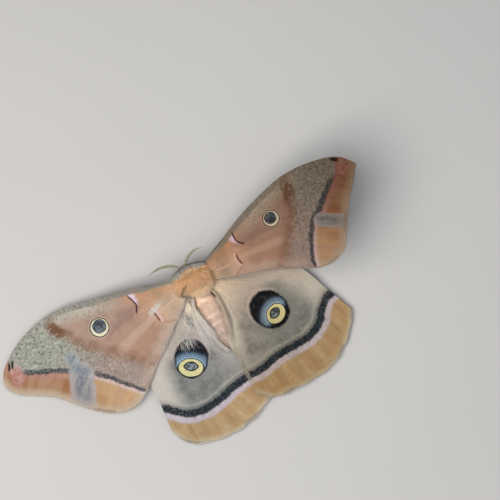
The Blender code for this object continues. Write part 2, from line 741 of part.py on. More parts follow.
def main():
    for obj in list(bpy.data.objects):
        bpy.data.objects.remove(obj)
    make_wings()
    make_legs()
    make_abdomen()
    make_head()
    make_antennae()
    make_thorax()
    centre_on_floor()


main()
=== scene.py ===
# Polyphemus moth at rest on a pale studio floor. Shapes are worked out in millimetres in the
# moth's own frame: +X its left side, -Y its head end, +Z up.
import math

import bmesh
import bpy
import numpy as np
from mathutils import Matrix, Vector


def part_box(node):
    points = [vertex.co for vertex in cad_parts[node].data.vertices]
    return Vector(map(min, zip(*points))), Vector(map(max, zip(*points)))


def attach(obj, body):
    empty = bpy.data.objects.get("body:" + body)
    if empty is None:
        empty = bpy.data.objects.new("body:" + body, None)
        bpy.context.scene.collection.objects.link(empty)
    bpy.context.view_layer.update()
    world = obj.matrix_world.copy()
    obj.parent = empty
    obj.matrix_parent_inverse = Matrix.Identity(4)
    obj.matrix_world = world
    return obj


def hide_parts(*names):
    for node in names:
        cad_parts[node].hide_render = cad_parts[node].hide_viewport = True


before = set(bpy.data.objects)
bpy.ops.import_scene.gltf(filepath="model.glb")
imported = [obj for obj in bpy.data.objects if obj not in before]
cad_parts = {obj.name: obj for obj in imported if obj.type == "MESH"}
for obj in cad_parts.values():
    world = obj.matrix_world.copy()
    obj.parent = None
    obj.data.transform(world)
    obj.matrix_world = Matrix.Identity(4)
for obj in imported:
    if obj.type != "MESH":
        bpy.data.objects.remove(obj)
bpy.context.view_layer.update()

millimetre = 0.001
sides = (("left", 1), ("right", -1))
eyeFromBody = {"left": (2.6, -6.0, 5.9), "right": (-0.8, -6.0, 5.9)}  # eye centres, moth's frame
bodyOrigin = np.mean(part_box("eye_left"), axis=0) / millimetre - eyeFromBody["left"]


def toScene(points):
    return (points + bodyOrigin) * millimetre


def fromScene(points):
    return points / millimetre - bodyOrigin


# Sums and curves

def smoothStep(value, low=0.0, high=1.0):
    t = np.clip((value - low) / (high - low), 0.0, 1.0)
    return t * t * (3 - 2 * t)


def unit(vectors):
    return vectors / np.maximum(np.linalg.norm(vectors, axis=-1, keepdims=True), 1e-9)


def mixed(base, colour, amount):
    base = np.asarray(base, float)
    return base + (np.array(colour) - base) * amount[:, None]


def curveThrough(points):  # a smooth curve through the points, 0 to 1, evenly by length
    points = np.asarray(points, float)
    knots = np.concatenate([[0], np.cumsum(np.linalg.norm(np.diff(points, axis=0), axis=1))])
    knots /= knots[-1]
    slopes = np.gradient(points, knots, axis=0)

    def at(t):
        t = np.clip(np.asarray(t, float), 0.0, 1.0)
        span = np.clip(np.searchsorted(knots, t, side="right") - 1, 0, len(knots) - 2)
        width = (knots[span + 1] - knots[span])[..., None]
        s = (t[..., None] - knots[span][..., None]) / width
        ends = (1 + 2 * s) * (1 - s) ** 2 * points[span] + s * s * (3 - 2 * s) * points[span + 1]
        bends = s * (1 - s) ** 2 * slopes[span] - s * s * (1 - s) * slopes[span + 1]
        return ends + bends * width

    return at


def fromStep(points, start, end):  # the share along a step where it is nearest, and the way from there
    step = np.subtract(end, start)
    away = points - start
    t = np.clip(away @ step / (step @ step), 0, 1)
    return t, away - t[:, None] * step


def signedDistance(points, line):  # distance to a line of points, positive on its right
    found = np.full(len(points), 1e9)
    side = np.ones(len(points))
    for start, end in zip(line[:-1], line[1:]):
        distance = np.linalg.norm(fromStep(points, start, end)[1], axis=1)
        nearer = distance < found
        found[nearer] = distance[nearer]
        step, away = end - start, points[nearer] - start
        side[nearer] = np.sign(step[1] * away[:, 0] - step[0] * away[:, 1])
    return found * side


# Mesh making

def addObject(name, data, materials=()):
    made = bpy.data.objects.new(name, data)
    bpy.context.scene.collection.objects.link(made)
    for material in materials:
        data.materials.append(material)
    return made


def faceOutwards(shape):
    bmesh.ops.recalc_face_normals(shape, faces=shape.faces)


def finishMesh(name, shape, materials):
    mesh = bpy.data.meshes.new(name)
    shape.to_mesh(mesh)
    shape.free()
    mesh.shade_smooth()
    piece = addObject(name, mesh, materials)
    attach(piece, "root")
    return piece


def addShapedGrid(shape, columns, rows, place):  # place() moves a grid's (column, row) shares
    made = bmesh.ops.create_grid(shape, x_segments=columns, y_segments=rows, size=0.5)["verts"]
    flat = np.array([vert.co[:2] for vert in made]) + 0.5
    for vert, point in zip(made, toScene(place(flat[:, 0], flat[:, 1]))):
        vert.co = point
    return made


def addTube(shape, centres, widths, heights, around, upright=(0.0, 0.0, 1.0)):
    # A closed tube along the centres: its ends are drawn in to a point
    centres = np.asarray(centres, float)
    along = unit(np.gradient(centres, axis=0))
    across = unit(np.cross(along, upright))
    above = np.cross(across, along)

    def place(column, row):
        ring = row * (len(centres) - 1)
        low = np.minimum(ring.astype(int), len(centres) - 2)
        share = (ring - low)[:, None]
        turn = column * 2 * math.pi

        def between(values):
            values = np.asarray(values, float).reshape(len(centres), -1)
            return values[low] * (1 - share) + values[low + 1] * share

        sideways = between(across) * between(widths) * np.cos(turn)[:, None]
        upwards = between(above) * between(heights) * np.sin(turn)[:, None]
        return between(centres) + sideways + upwards

    made = addShapedGrid(shape, around, len(centres) - 1, place)
    bmesh.ops.remove_doubles(shape, verts=made, dist=0.002 * millimetre)


def addBall(shape, centre, half, around, down):
    made = bmesh.ops.create_uvsphere(shape, u_segments=around, v_segments=down, radius=1.0)["verts"]
    for vert in made:
        vert.co = toScene(np.array(vert.co) * half + centre)


def readArray(items, name, width, kind=np.float32):
    values = np.zeros(len(items) * width, kind)
    items.foreach_get(name, values)
    return values.reshape(-1, width)


def setAttribute(piece, name, values):
    values = np.asarray(values, np.float32)
    kind = "FLOAT" if values.ndim == 1 else "FLOAT_COLOR"
    if values.ndim == 2:
        values = np.column_stack([values, np.ones(len(values), np.float32)])
    attribute = piece.data.attributes.new(name, kind, "POINT")
    attribute.data.foreach_set("value" if kind == "FLOAT" else "color", values.ravel())


def setMap(piece, name, perVertex):
    corners = readArray(piece.data.loops, "vertex_index", 1, np.int32)[:, 0]
    layer = piece.data.uv_layers.new(name=name)
    layer.uv.foreach_set("vector", np.asarray(perVertex, np.float32)[corners].ravel())


# Paint: adds nodes to a material, and keeps the colour that is painted so far

class Paint:
    def __init__(self, name, roughness, sheen=0.0, gloss=0.5):
        self.material = bpy.data.materials.new(name)
        self.material.use_nodes = True
        self.tree = self.material.node_tree
        self.shader = self.tree.nodes["Principled BSDF"]
        self.shader.inputs["Roughness"].default_value = roughness
        self.shader.inputs["Sheen Weight"].default_value = sheen
        self.shader.inputs["Sheen Roughness"].default_value = 0.5
        self.shader.inputs["Specular IOR Level"].default_value = gloss
        place = self.tree.nodes.new("ShaderNodeTexCoord").outputs["Object"]
        self.place = self.scaled(place, (1 / millimetre,) * 3)

    def add(self, kind, output, feeds, **settings):
        node = self.tree.nodes.new(kind)
        for key, value in settings.items():
            setattr(node, key, value)
        for key, value in feeds.items():
            if isinstance(value, bpy.types.NodeSocket):
                self.tree.links.new(value, node.inputs[key])
            else:
                node.inputs[key].default_value = value
        return node.outputs[output]

    def maths(self, operation, first, second=0.0):
        return self.add("ShaderNodeMath", 0, {0: first, 1: second}, operation=operation)

    def plus(self, first, second):
        return self.maths("ADD", first, second)

    def minus(self, first, second):
        return self.maths("SUBTRACT", first, second)

    def times(self, *values):
        made = values[0]
        for value in values[1:]:
            made = self.maths("MULTIPLY", made, value)
        return made

    def scaled(self, vector, factors):
        return self.add("ShaderNodeVectorMath", 0, {0: vector, 1: factors}, operation="MULTIPLY")

    def rise(self, value, low, high, top=1.0):
        feeds = {"Value": value, "From Min": low, "From Max": high, "To Max": top}
        return self.add("ShaderNodeMapRange", 0, feeds, interpolation_type="SMOOTHSTEP")

    def hump(self, value, middle, half, soft, top=1.0):  # full within half of middle, then fading
        away = self.maths("ABSOLUTE", self.minus(value, middle))
        return self.rise(away, half + soft, half, top)

    def attribute(self, name):
        return self.add("ShaderNodeAttribute", "Fac", {}, attribute_name=name)

    def colourAttribute(self, name):
        return self.add("ShaderNodeAttribute", "Color", {}, attribute_name=name)

    def noise(self, scale, detail=2.0, vector=None, roughness=0.5):
        feeds = {"Vector": vector or self.place, "Scale": scale, "Detail": detail, "Roughness": roughness}
        return self.add("ShaderNodeTexNoise", 0, feeds)

    def wobble(self, value, scale, amount, vector=None, detail=2.0):  # value plus noise either way
        noise = self.minus(self.noise(scale, detail, vector), 0.5)
        return self.plus(value, self.maths("MULTIPLY", noise, 2 * amount))

    def blend(self, base, colour, amount, mode="MIX"):
        feeds = {0: amount}
        for socket, value in ((6, base), (7, colour)):
            feeds[socket] = (*value, 1.0) if isinstance(value, tuple) else value
        return self.add("ShaderNodeMix", 2, feeds, data_type="RGBA", blend_type=mode)

    def clouds(self, first, second, scale, low, high, detail=2.0):  # one colour in clouds over another
        return self.blend(first, second, self.rise(self.noise(scale, detail), low, high))

    def over(self, colour, amount, mode="MIX"):
        self.colour = self.blend(self.colour, colour, amount, mode)

    def brighten(self, amount):
        feeds = {0: self.colour, "Scale": amount}
        self.colour = self.add("ShaderNodeVectorMath", 0, feeds, operation="SCALE")

    def grain(self, scale, amount, vector=None):  # lighter and darker by noise
        noise = self.noise(scale, 3.0, vector, 0.6)
        self.brighten(self.plus(1 - amount, self.times(noise, 2 * amount)))

    def finish(self, height=None, distance=0.0, strength=1.0):  # height: the bumps' pattern
        self.tree.links.new(self.colour, self.shader.inputs["Base Color"])
        if height:
            feeds = {"Height": height, "Distance": distance * millimetre, "Strength": strength}
            self.tree.links.new(self.add("ShaderNodeBump", 0, feeds), self.shader.inputs["Normal"])
        return self.material


# Stage: camera straight above, floor and soft light

stage = {
    "cameraPlace": (-22.1, 0.6, 450.0),  # moth's frame
    "cameraTurn": 148.0,
    "viewWidth": 175.0,  # what the picture spans at viewDistance
    "viewDistance": 444.0,
    "sensor": 36.0,
    "floorHalf": 1.5,
    "floorColour": (0.58, 0.57, 0.56),
    "key": {"place": (0.17, -0.02, 0.47), "size": 0.42, "power": 2.6, "colour": (1.0, 0.97, 0.93)},
    "fill": {"place": (-0.35, 0.25, 0.55), "size": 0.6, "power": 0.66, "colour": (0.92, 0.96, 1.0)},
    "skyColour": (0.86, 0.92, 1.0),
    "skyStrength": 0.205,
}


def addLight(name):
    facts = stage[name]
    light = bpy.data.lights.new(name, "AREA")
    light.shape = "SQUARE"
    light.size = facts["size"]
    light.energy = facts["power"]
    light.color = facts["colour"]
    lamp = addObject(name, light)
    lamp.location = facts["place"]
    lamp.rotation_euler = (-Vector(facts["place"])).to_track_quat("-Z", "Y").to_euler()


def makeStage():
    scene = bpy.context.scene
    camera = bpy.data.cameras.new("camera")
    camera.sensor_width = stage["sensor"]
    camera.lens = stage["sensor"] * stage["viewDistance"] / stage["viewWidth"]
    viewer = addObject("camera", camera)
    viewer.location = toScene(np.array(stage["cameraPlace"]))
    viewer.rotation_euler = (0, 0, math.radians(stage["cameraTurn"]))
    scene.camera = viewer
    scene.view_settings.view_transform = "Standard"

    paint = Paint("floorPaint", 0.9)
    paler = tuple(value * 1.05 for value in stage["floorColour"])
    paint.colour = paint.blend(stage["floorColour"], paler, paint.noise(0.02))
    shape = bmesh.new()
    bmesh.ops.create_grid(shape, x_segments=1, y_segments=1, size=stage["floorHalf"])
    mesh = bpy.data.meshes.new("floor")
    shape.to_mesh(mesh)
    shape.free()
    addObject("floor", mesh, (paint.finish(),))

    addLight("key")
    addLight("fill")
    world = bpy.data.worlds.new("sky")
    world.use_nodes = True
    sky = world.node_tree.nodes["Background"]
    sky.inputs["Color"].default_value = (*stage["skyColour"], 1.0)
    sky.inputs["Strength"].default_value = stage["skyStrength"]
    scene.world = world


makeStage()
print("stage ready")


# Body sizes, shared by the skin, the coat and what the wings lie over

body = {
    "thoraxCentre": np.array((0.0, 0.0, 8.3)),
    "thoraxHalf": np.array((4.6, 5.4, 4.4)),
    "headCentre": np.array((0.9, -5.5, 6.0)),
    "headHalf": np.array((2.0, 1.7, 1.9)),
    "abdomenEnds": (3.0, 27.2),
    "abdomenHalf": (4.4, 4.1),
    "abdomenHeights": (7.8, 7.0, 5.7, 3.7),
    "abdomenShifts": (0.3, 0.7, 1.3, 2.2),
    "abdomenRings": 8,
    "thoraxMap": (-6.0, 7.0),  # Y range that each coat's map unrolls
    "abdomenMap": (3.0, 28.0),
    "headMap": (-9.0, -3.0),
}


def abdomenAt(y):  # centre X and Z, half width and half height
    start, end = body["abdomenEnds"]
    t = np.clip((np.asarray(y, float) - start) / (end - start), 0.0, 1.0)
    fullness = np.sqrt(np.maximum(1 - np.maximum(t - 0.25, 0) ** 2 / 0.75 ** 2, 0))
    fullness = fullness * (0.62 + 0.38 * smoothStep((t + 0.05) / 0.3))
    stations = (0, 0.2, 0.6, 1)
    centreX = np.interp(t, stations, body["abdomenShifts"])
    centreZ = np.interp(t, stations, body["abdomenHeights"])
    return centreX, centreZ, body["abdomenHalf"][0] * fullness, body["abdomenHalf"][1] * fullness


# Wings: plans seen from above, X out from the body, and how high each lies

held = {
    "root": (4.0, 0.0),
    "foreRoot": 9.9,  # heights where the wings leave the thorax
    "hindRoot": 8.4,
    "slopeReach": 30.0,  # how far out the lowered wings come down
    "foreLow": 2.9,
    "foreDrop": 7.0,
    "foreTipDrop": 1.3,
    "raisedTurn": 30,  # the raised wing climbs this way, in degrees from straight out
    "raisedSlope": 0.12,
    "raisedCurl": 160,  # larger is flatter
    "hindLow": 1.6,
    "hindDrop": 6.8,
    "overlap": 1.4,  # the right hindwing's rise over the left one
    "besideAbdomen": 1.2,
    "overAbdomen": 1.0,
}


def liftOver(side, x, y):  # how high a wing has to lie over the abdomen
    centreX, centreZ, halfWidth, halfHeight = abdomenAt(y)
    across = (x - side * centreX) / (halfWidth + held["besideAbdomen"])
    lift = (halfHeight + held["overAbdomen"]) * np.sqrt(np.maximum(1 - across ** 2, 0))
    rear = body["abdomenEnds"][1] + 1.5 - y
    here = smoothStep((y - 2.2) / 2.2) * smoothStep(rear / 2) * (np.abs(across) < 1)
    return centreZ - 3.0 + here * (lift + 3.0)


def sloping(x, y):  # how far out from the root, and 1 at the root falling to 0 outside
    out = np.hypot(x - held["root"][0], y - held["root"][1])
    return out, np.exp(-((out / held["slopeReach"]) ** 2))


def foreLeftHeight(x, y):
    out, fall = sloping(x, y)
    return held["foreLow"] + held["foreDrop"] * fall - held["foreTipDrop"] * smoothStep((out - 45) / 30)


def foreRightHeight(x, y):  # held up, and curling further up towards its outer margin
    turn = math.radians(held["raisedTurn"])
    out = (x - held["root"][0]) * math.cos(turn) + (y - held["root"][1]) * math.sin(turn)
    out = np.maximum(out, 0)
    return held["foreRoot"] + held["raisedSlope"] * out + out ** 2 / held["raisedCurl"]


def hindHeightAt(x, y, side):
    base = held["hindLow"] + held["hindDrop"] * sloping(x, y)[1]
    if side < 0:  # the right one lies over the left one behind the abdomen
        base = base + held["overlap"] * smoothStep((20 - x) / 8) * smoothStep((y - 16) / 8)
    over = liftOver(side, x, y)
    return 0.5 * (base + over + np.sqrt((base - over) ** 2 + 0.25))


def hindLeftHeight(x, y):
    return hindHeightAt(x, y, 1)


def hindRightHeight(x, y):
    return hindHeightAt(x, y, -1)


# tones: each wing's scale tone at the base, the front tip and the rear tip; on the right wings it is painted
# shade too, darker as if lit less
wings = {
    "forewing_left": {
        "side": 1, "kind": "fore", "height": foreLeftHeight, "rootAngles": (-48, 20),
        "tonesWithPaintedShade": ((0.84, 0.84, 0.84), (0.85, 0.87, 0.90), (0.84, 0.84, 0.86)),
        "lead": (
            (13.8, -7.6), (24.0, -11.3), (34.8, -14.2), (45.7, -17.1), (57.7, -16.8), (70.6, -11.9),
            (75.1, -8.4),
        ),
        "apex": (76.9, -5.2),
        "outer": (
            (76.4, -2.4), (74.0, 0.8), (69.2, 4.2), (63.9, 8.0), (55.4, 18.2), (47.0, 24.8), (40.5, 25.8),
        ),
        "tornus": (34.8, 23.5),
        "inner": ((12.6, 7.7), (22.2, 14.2)),
        "eyespotRadius": 3.55,
        "patches": {
            "greyPatch": (((51.3, -0.4), (51.8, 3.6), 0.9, 2.9), ((51.4, 6.6), (55.6, 14.6), 2.7, 3.6)),
            "scuff": (((12.4, -0.9), (16.0, 0.1), 0.15, 1.2), ((15.6, 0.0), (18.6, 0.9), 0.4, 1.3)),
            "apexRed": (((70.8, -6.6), (71.8, -3.4), 0.7, 3.2),),
            "dashes": (((71.4, -10.3), (72.6, -8.4), 0.25, 0.3), ((70.0, -10.3), (71.2, -8.5), 0.25, 0.3)),
        },
    },
    "forewing_right": {
        "side": -1, "kind": "fore", "height": foreRightHeight, "rootAngles": (-48, 20),
        "tonesWithPaintedShade": ((0.74, 0.66, 0.59), (0.30, 0.23, 0.19), (0.60, 0.55, 0.54)),
        "lead": ((15.0, -7.5), (25.5, -11.3), (35.1, -13.7), (44.0, -15.1), (54.9, -13.8), (63.8, -9.7)),
        "apex": (66.7, -5.2),
        "outer": ((63.2, -0.9), (58.6, 3.9), (52.7, 11.9), (48.3, 17.0), (43.4, 18.6)),
        "tornus": (38.3, 17.9),
        "inner": ((15.5, 6.6), (21.8, 8.9), (30.3, 13.3)),
        "eyespotRadius": 2.95,
        "patches": {
            "greyPatch": (((47.6, 4.6), (56.0, 10.6), 2.0, 0.8),),
            "apexRed": (((63.4, -7.4), (62.4, -5.8), 1.0, 2.2),),
            "dashes": (((61.3, -10.7), (62.3, -9.6), 0.35, 0.5),),
        },
    },
    "hindwing_left": {
        "side": 1, "kind": "hind", "height": hindLeftHeight, "rootAngles": (10, 42),
        "tonesWithPaintedShade": ((0.98, 0.98, 1.02), (0.80, 0.88, 0.95), (0.87, 0.92, 0.98)),
        "lead": ((14.0, 4.5), (24.5, 11.5), (31.3, 18.0), (33.5, 30.1)),
        "apex": (35.2, 41.0),
        "outer": ((32.1, 47.2), (22.3, 51.7), (8.7, 52.0), (-1.0, 48.4)),
        "tornus": (-10.0, 43.4),
        "inner": ((5.2, 9.8), (5.0, 17.0), (3.9, 23.5), (0.9, 29.6)),
        "ocellusCentre": (15.6, 22.0), "ocellusTurn": 57.0, "ovalHalf": (7.2, 6.1),
        "ringPlace": 3.2, "ringHalf": (3.25, 4.4), "paneHalf": (1.7, 2.7),
    },
    "hindwing_right": {
        "side": -1, "kind": "hind", "height": hindRightHeight, "rootAngles": (10, 42),
        "tonesWithPaintedShade": ((1.02, 0.93, 0.83), (0.76, 0.79, 0.79), (0.66, 0.66, 0.62)),
        "slopePaintedLight": 0.38,  # painted light: brighter where it slopes down beside the abdomen, a slope that lies in shade
        "lead": ((14.0, 3.0), (24.5, 7.0), (32.0, 12.5), (38.4, 27.9)),
        "apex": (41.7, 37.6),
        "outer": ((37.5, 42.9), (26.1, 50.4), (11.6, 50.8), (1.4, 48.6)),
        "tornus": (-2.7, 44.8),
        "inner": ((4.0, 9.9), (1.9, 19.0), (-1.7, 32.2)),
        "ocellusCentre": (16.9, 21.9), "ocellusTurn": 66.0, "ovalHalf": (7.5, 6.5),
        "ringPlace": 2.7, "ringHalf": (3.15, 3.7), "paneHalf": (1.7, 2.3),
    },
}

# Veins: place from the leading edge (0) to the inner margin (1), and where each one starts.
# Lines are (from the root, from the leading edge) places that all wings of a kind share.
wingKinds = {
    "fore": {
        "veins": (
            (0.09, 0.0), (0.26, 0.42), (0.39, 0.46), (0.52, 0.46), (0.65, 0.0), (0.79, 0.3), (0.93, 0.0),
        ),
        "rows": 150, "betweenVeins": 12, "scallop": 0.0, "rootHeight": held["foreRoot"],
        "lines": {
            "fromBlackLine": (
                (0.89, 0.02), (0.895, 0.11), (0.885, 0.21), (0.865, 0.31), (0.84, 0.42), (0.805, 0.5),
                (0.795, 0.58), (0.79, 0.66), (0.81, 0.77), (0.86, 0.87), (0.93, 0.95),
            ),
            "fromRustBand": (
                (0.63, 0.02), (0.65, 0.12), (0.665, 0.23), (0.68, 0.34), (0.67, 0.45), (0.645, 0.55),
                (0.625, 0.67), (0.63, 0.8), (0.66, 0.96),
            ),
            "fromFrontStroke": ((0.275, 0.13), (0.285, 0.25), (0.305, 0.36), (0.335, 0.43)),
            "fromMiddleStroke": ((0.27, 0.55), (0.275, 0.61), (0.295, 0.71)),
            "fromRearStroke": ((0.295, 0.8), (0.28, 0.97)),
            "fromWedge": ((0.33, 0.43), (0.4, 0.46), (0.48, 0.465), (0.56, 0.48)),
        },
        "eyespot": (0.548, 0.357),
    },
    "hind": {
        "veins": ((0.08, 0.0), (0.25, 0.34), (0.41, 0.42), (0.56, 0.42), (0.71, 0.0), (0.87, 0.0)),
        "rows": 140, "betweenVeins": 13, "scallop": 0.35, "rootHeight": held["hindRoot"],
        "lines": {
            "fromBlackBand": (
                (0.84, 0.0), (0.8, 0.08), (0.79, 0.16), (0.8, 0.25), (0.795, 0.36), (0.775, 0.48),
                (0.76, 0.6), (0.755, 0.7), (0.77, 0.8), (0.8, 0.92), (0.84, 1.0),
            ),
        },
    },
}

membrane = {
    "thickness": 0.2,
    "veinHalfWidth": 0.42,
    "veinRelief": 0.1,
    "rootReach": -0.8,  # how far the membrane's root stands off the thorax: inside its wool
    "ripple": 0.16,
    "solidHalf": 0.275,  # half the thickness of the source's wings
}


def coreEdge(angle, height):
    level = (height - membrane["solidHalf"] - body["thoraxCentre"][2]) / body["thoraxHalf"][2]
    half = body["thoraxHalf"][:2] * math.sqrt(1 - level * level) + membrane["rootReach"]
    return half * (math.cos(math.radians(angle)), math.sin(math.radians(angle)))


def wingPlan(wing):  # (from the root, from the leading edge) to the wing's plan
    kind = wingKinds[wing["kind"]]
    angles = np.linspace(*wing["rootAngles"], 9)
    rootPoints = [coreEdge(angle, kind["rootHeight"]) for angle in angles]
    front, rear = rootPoints[0], rootPoints[-1]
    apex, tornus = np.array(wing["apex"]), np.array(wing["tornus"])
    lead = curveThrough([front, *wing["lead"], apex])
    inner = curveThrough([rear, *wing["inner"], tornus])
    outer = curveThrough([apex, *wing["outer"], tornus])
    root = curveThrough(rootPoints)

    def at(u, w):
        a, b = np.asarray(u, float)[..., None], np.asarray(w, float)[..., None]
        edges = (1 - b) * lead(u) + b * inner(u) + (1 - a) * root(w) + a * outer(w)
        near = (1 - a) * ((1 - b) * front + b * rear)
        far = a * ((1 - b) * apex + b * tornus)
        return edges - near - far

    return at


def veinColumns(kind, chord, columnShare):  # where a column lies, and how near it is to a vein
    spread = membrane["veinHalfWidth"] / chord
    gap, step = kind["betweenVeins"], 2
    index, anchors, relief = [0], [np.zeros_like(chord)], [0.0]
    for place, _ in kind["veins"]:
        index += [index[-1] + gap, index[-1] + gap + step, index[-1] + gap + 2 * step]
        anchors += [place - spread, np.full_like(chord, place), place + spread]
        relief += [0.0, 1.0, 0.0]
    index.append(index[-1] + gap)
    anchors.append(np.ones_like(chord))
    relief.append(0.0)
    anchors, column = np.array(anchors), columnShare * index[-1]
    span = np.clip(np.searchsorted(index, column, side="right") - 1, 0, len(index) - 2)
    index = np.array(index)
    share = (column - index[span]) / (index[span + 1] - index[span])
    row = np.arange(len(column))
    across = anchors[span, row] * (1 - share) + anchors[span + 1, row] * share
    relief = np.array(relief)
    nearness = relief[span] * (1 - share) + relief[span + 1] * share
    starts = np.interp(across, *zip(*kind["veins"]))
    return across, np.sin(nearness * math.pi / 2) ** 2, starts


def columnCount(kind):
    return kind["betweenVeins"] * (len(kind["veins"]) + 1) + 4 * len(kind["veins"])


def wingFlat(wing, plan, row, across):  # the plan, with the margin's shallow scallops
    kind = wingKinds[wing["kind"]]
    scallop = kind["scallop"] * (np.abs(np.sin(math.pi * across * (len(kind["veins"]) + 1))) - 1)
    outward = unit(plan(np.ones_like(row), across) - plan(np.full_like(row, 0.97), across))
    return plan(row, across) + outward * (scallop * smoothStep((row - 0.8) / 0.2))[:, None], outward


def wingHeight(wing, flat, row, across):
    x, y = flat.T
    ripple = np.sin(x * 0.35 + 3 * across) * np.sin(y * 0.5 + x * 0.12) * smoothStep((row - 0.25) / 0.4)
    return wing["height"](x, y) + membrane["ripple"] * ripple


def toneWithShadeAt(wing, u, w):  # the scales' tone there, with painted shade: the right wings darker, darkest towards the right forewing's tip
    base, frontTip, rearTip = wing["tonesWithPaintedShade"]
    return mixed(base, mixed(frontTip, rearTip, smoothStep(w)), smoothStep(u))


def makeWing(name):
    wing = wings[name]
    kind = wingKinds[wing["kind"]]
    plan, side = wingPlan(wing), wing["side"]
    facts = {}

    def place(row, column):
        chord = np.linalg.norm(plan(row, np.ones_like(row)) - plan(row, np.zeros_like(row)), axis=1)
        across, nearness, starts = veinColumns(kind, np.maximum(chord, 4.0), column)
        veins = nearness * np.where(starts > 0.01, smoothStep((row - starts) / 0.08), 1.0) * (1 - 0.5 * row)
        flat, _ = wingFlat(wing, plan, row, across)
        z = wingHeight(wing, flat, row, across)
        thickness = membrane["thickness"] + 2 * membrane["veinRelief"] * veins
        facts.update(flat=flat, u=row, w=across, veins=veins, thickness=thickness)
        return np.column_stack([side * flat[:, 0], flat[:, 1], z + thickness / 2])

    shape = bmesh.new()
    addShapedGrid(shape, kind["rows"], columnCount(kind), place)
    faceOutwards(shape)
    if sum(face.normal.z for face in shape.faces) < 0:
        bmesh.ops.reverse_faces(shape, faces=shape.faces)
    piece = finishMesh(name + "_membrane", shape, (wingTop[wing["kind"]], wingUnder[wing["kind"]]))
    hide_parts(name)
    flat = facts["flat"]
    setMap(piece, "plan", np.column_stack([facts["u"], facts["w"]]))
    setAttribute(piece, "vein", facts["veins"])
    share = np.linspace(0, 1, 120)
    edges = {
        "fromMargin": plan(np.ones(120), share),
        "fromLead": plan(share, np.zeros(120)),
        "fromInner": plan(share, np.ones(120)),
    }
    away = {line: np.abs(signedDistance(flat, points)) for line, points in edges.items()}
    for line, values in away.items():
        setAttribute(piece, line, values)
    # painted light on the slope beside the abdomen, where shade falls
    slope = smoothStep((5.0 - away["fromInner"]) / 3.5) * smoothStep((0.75 - facts["u"]) / 0.3)
    toneWithShade = toneWithShadeAt(wing, facts["u"], facts["w"]) * (1 + wing.get("slopePaintedLight", 0.0) * slope)[:, None]
    setAttribute(piece, "toneWithShade", toneWithShade)
    for line, points in kind["lines"].items():
        path = curveThrough(points)(share)
        setAttribute(piece, line, signedDistance(flat, plan(path[:, 0], path[:, 1])))
    for mark, values in wingMarks(wing, kind, plan, flat).items():
        setAttribute(piece, mark, values)
    thickest = membrane["thickness"] + 2 * membrane["veinRelief"]
    group = piece.vertex_groups.new(name="thickness")
    for index, value in enumerate(facts["thickness"] / thickest):
        group.add([index], float(value), "REPLACE")
    wall = piece.modifiers.new("thickness", "SOLIDIFY")
    wall.thickness = thickest * millimetre
    wall.offset = -1.0
    wall.vertex_group = "thickness"
    wall.material_offset = 1
    return piece


def fromOcellus(wing, flat):  # towards the margin, and across
    turn = math.radians(wing["ocellusTurn"])
    local = flat - wing["ocellusCentre"]
    return local @ (math.cos(turn), math.sin(turn)), local @ (-math.sin(turn), math.cos(turn))


def wingMarks(wing, kind, plan, flat):  # where the eyespots and single patches lie
    marks = {"leftness": np.full(len(flat), float(wing["side"] > 0))}
    if wing["kind"] == "fore":
        centre = plan(np.array([kind["eyespot"][0]]), np.array([kind["eyespot"][1]]))[0]
        local = (flat - centre) / wing["eyespotRadius"]
        marks["spotX"], marks["spotY"] = local.T
        for name in ("greyPatch", "scuff", "apexRed", "dashes"):
            marks[name] = np.zeros(len(flat))
            for start, end, half, soft in wing["patches"].get(name, ()):
                away = np.abs(signedDistance(flat, np.array((start, end))))
                marks[name] = np.maximum(marks[name], smoothStep((half + soft - away) / soft))
                if name == "greyPatch":
                    marks["greyCore"] = np.maximum(marks.get("greyCore", 0), 1 - away / (half + soft))
    else:
        along, across = fromOcellus(wing, flat)
        marks["spotX"], marks["spotY"] = along, across
        fromRing = along - wing["ringPlace"]
        for name, place in (("oval", along), ("ring", fromRing), ("pane", fromRing + 0.5)):
            half = wing[name + "Half"]
            marks[name + "X"], marks[name + "Y"] = place / half[0], across / half[1]
    return marks


# Wing paints. Distances are in millimetres, colours are linear.

def wingPaint(name):
    paint = Paint(name, 0.8, gloss=0.12)
    mapped = paint.add("ShaderNodeUVMap", 0, {}, uv_map="plan")
    split = paint.tree.nodes.new("ShaderNodeSeparateXYZ")
    paint.tree.links.new(mapped, split.inputs[0])
    paint.u, paint.w = split.outputs["X"], split.outputs["Y"]
    paint.streaks = paint.scaled(mapped, (4.0, 70.0, 1.0))  # long along the wing, fine across it
    for line in ("fromMargin", "fromLead", "fromInner", "spotX", "spotY"):
        setattr(paint, line, paint.attribute(line))
    return paint


def streaky(paint, detail, factors):  # noise drawn out along the wing
    return paint.noise(1.0, detail, paint.scaled(paint.streaks, factors))


def finishScales(paint, glassy):  # streaks, fine grain and veins over the pattern
    paint.grain(1.0, 0.12, paint.streaks)
    paint.grain(1.7, 0.14)
    paint.grain(0.35, 0.12)
    veins = paint.attribute("vein")
    fibres = paint.noise(1.0, 3.0, paint.streaks)
    height = paint.plus(paint.times(fibres, 0.6), paint.noise(3.0, 3.0))
    rough = paint.plus(0.8, paint.times(glassy, -0.5))
    paint.tree.links.new(rough, paint.shader.inputs["Roughness"])
    paint.over((0.58, 0.46, 0.36), paint.times(veins, 0.05))
    # multiplies in the scales' tone, with its painted shade
    paint.over(paint.colourAttribute("toneWithShade"), 1.0, "MULTIPLY")
    return paint.finish(height, 0.06, 0.7)


def length(paint, x, y):
    return paint.maths("SQRT", paint.plus(paint.times(x, x), paint.times(y, y)))


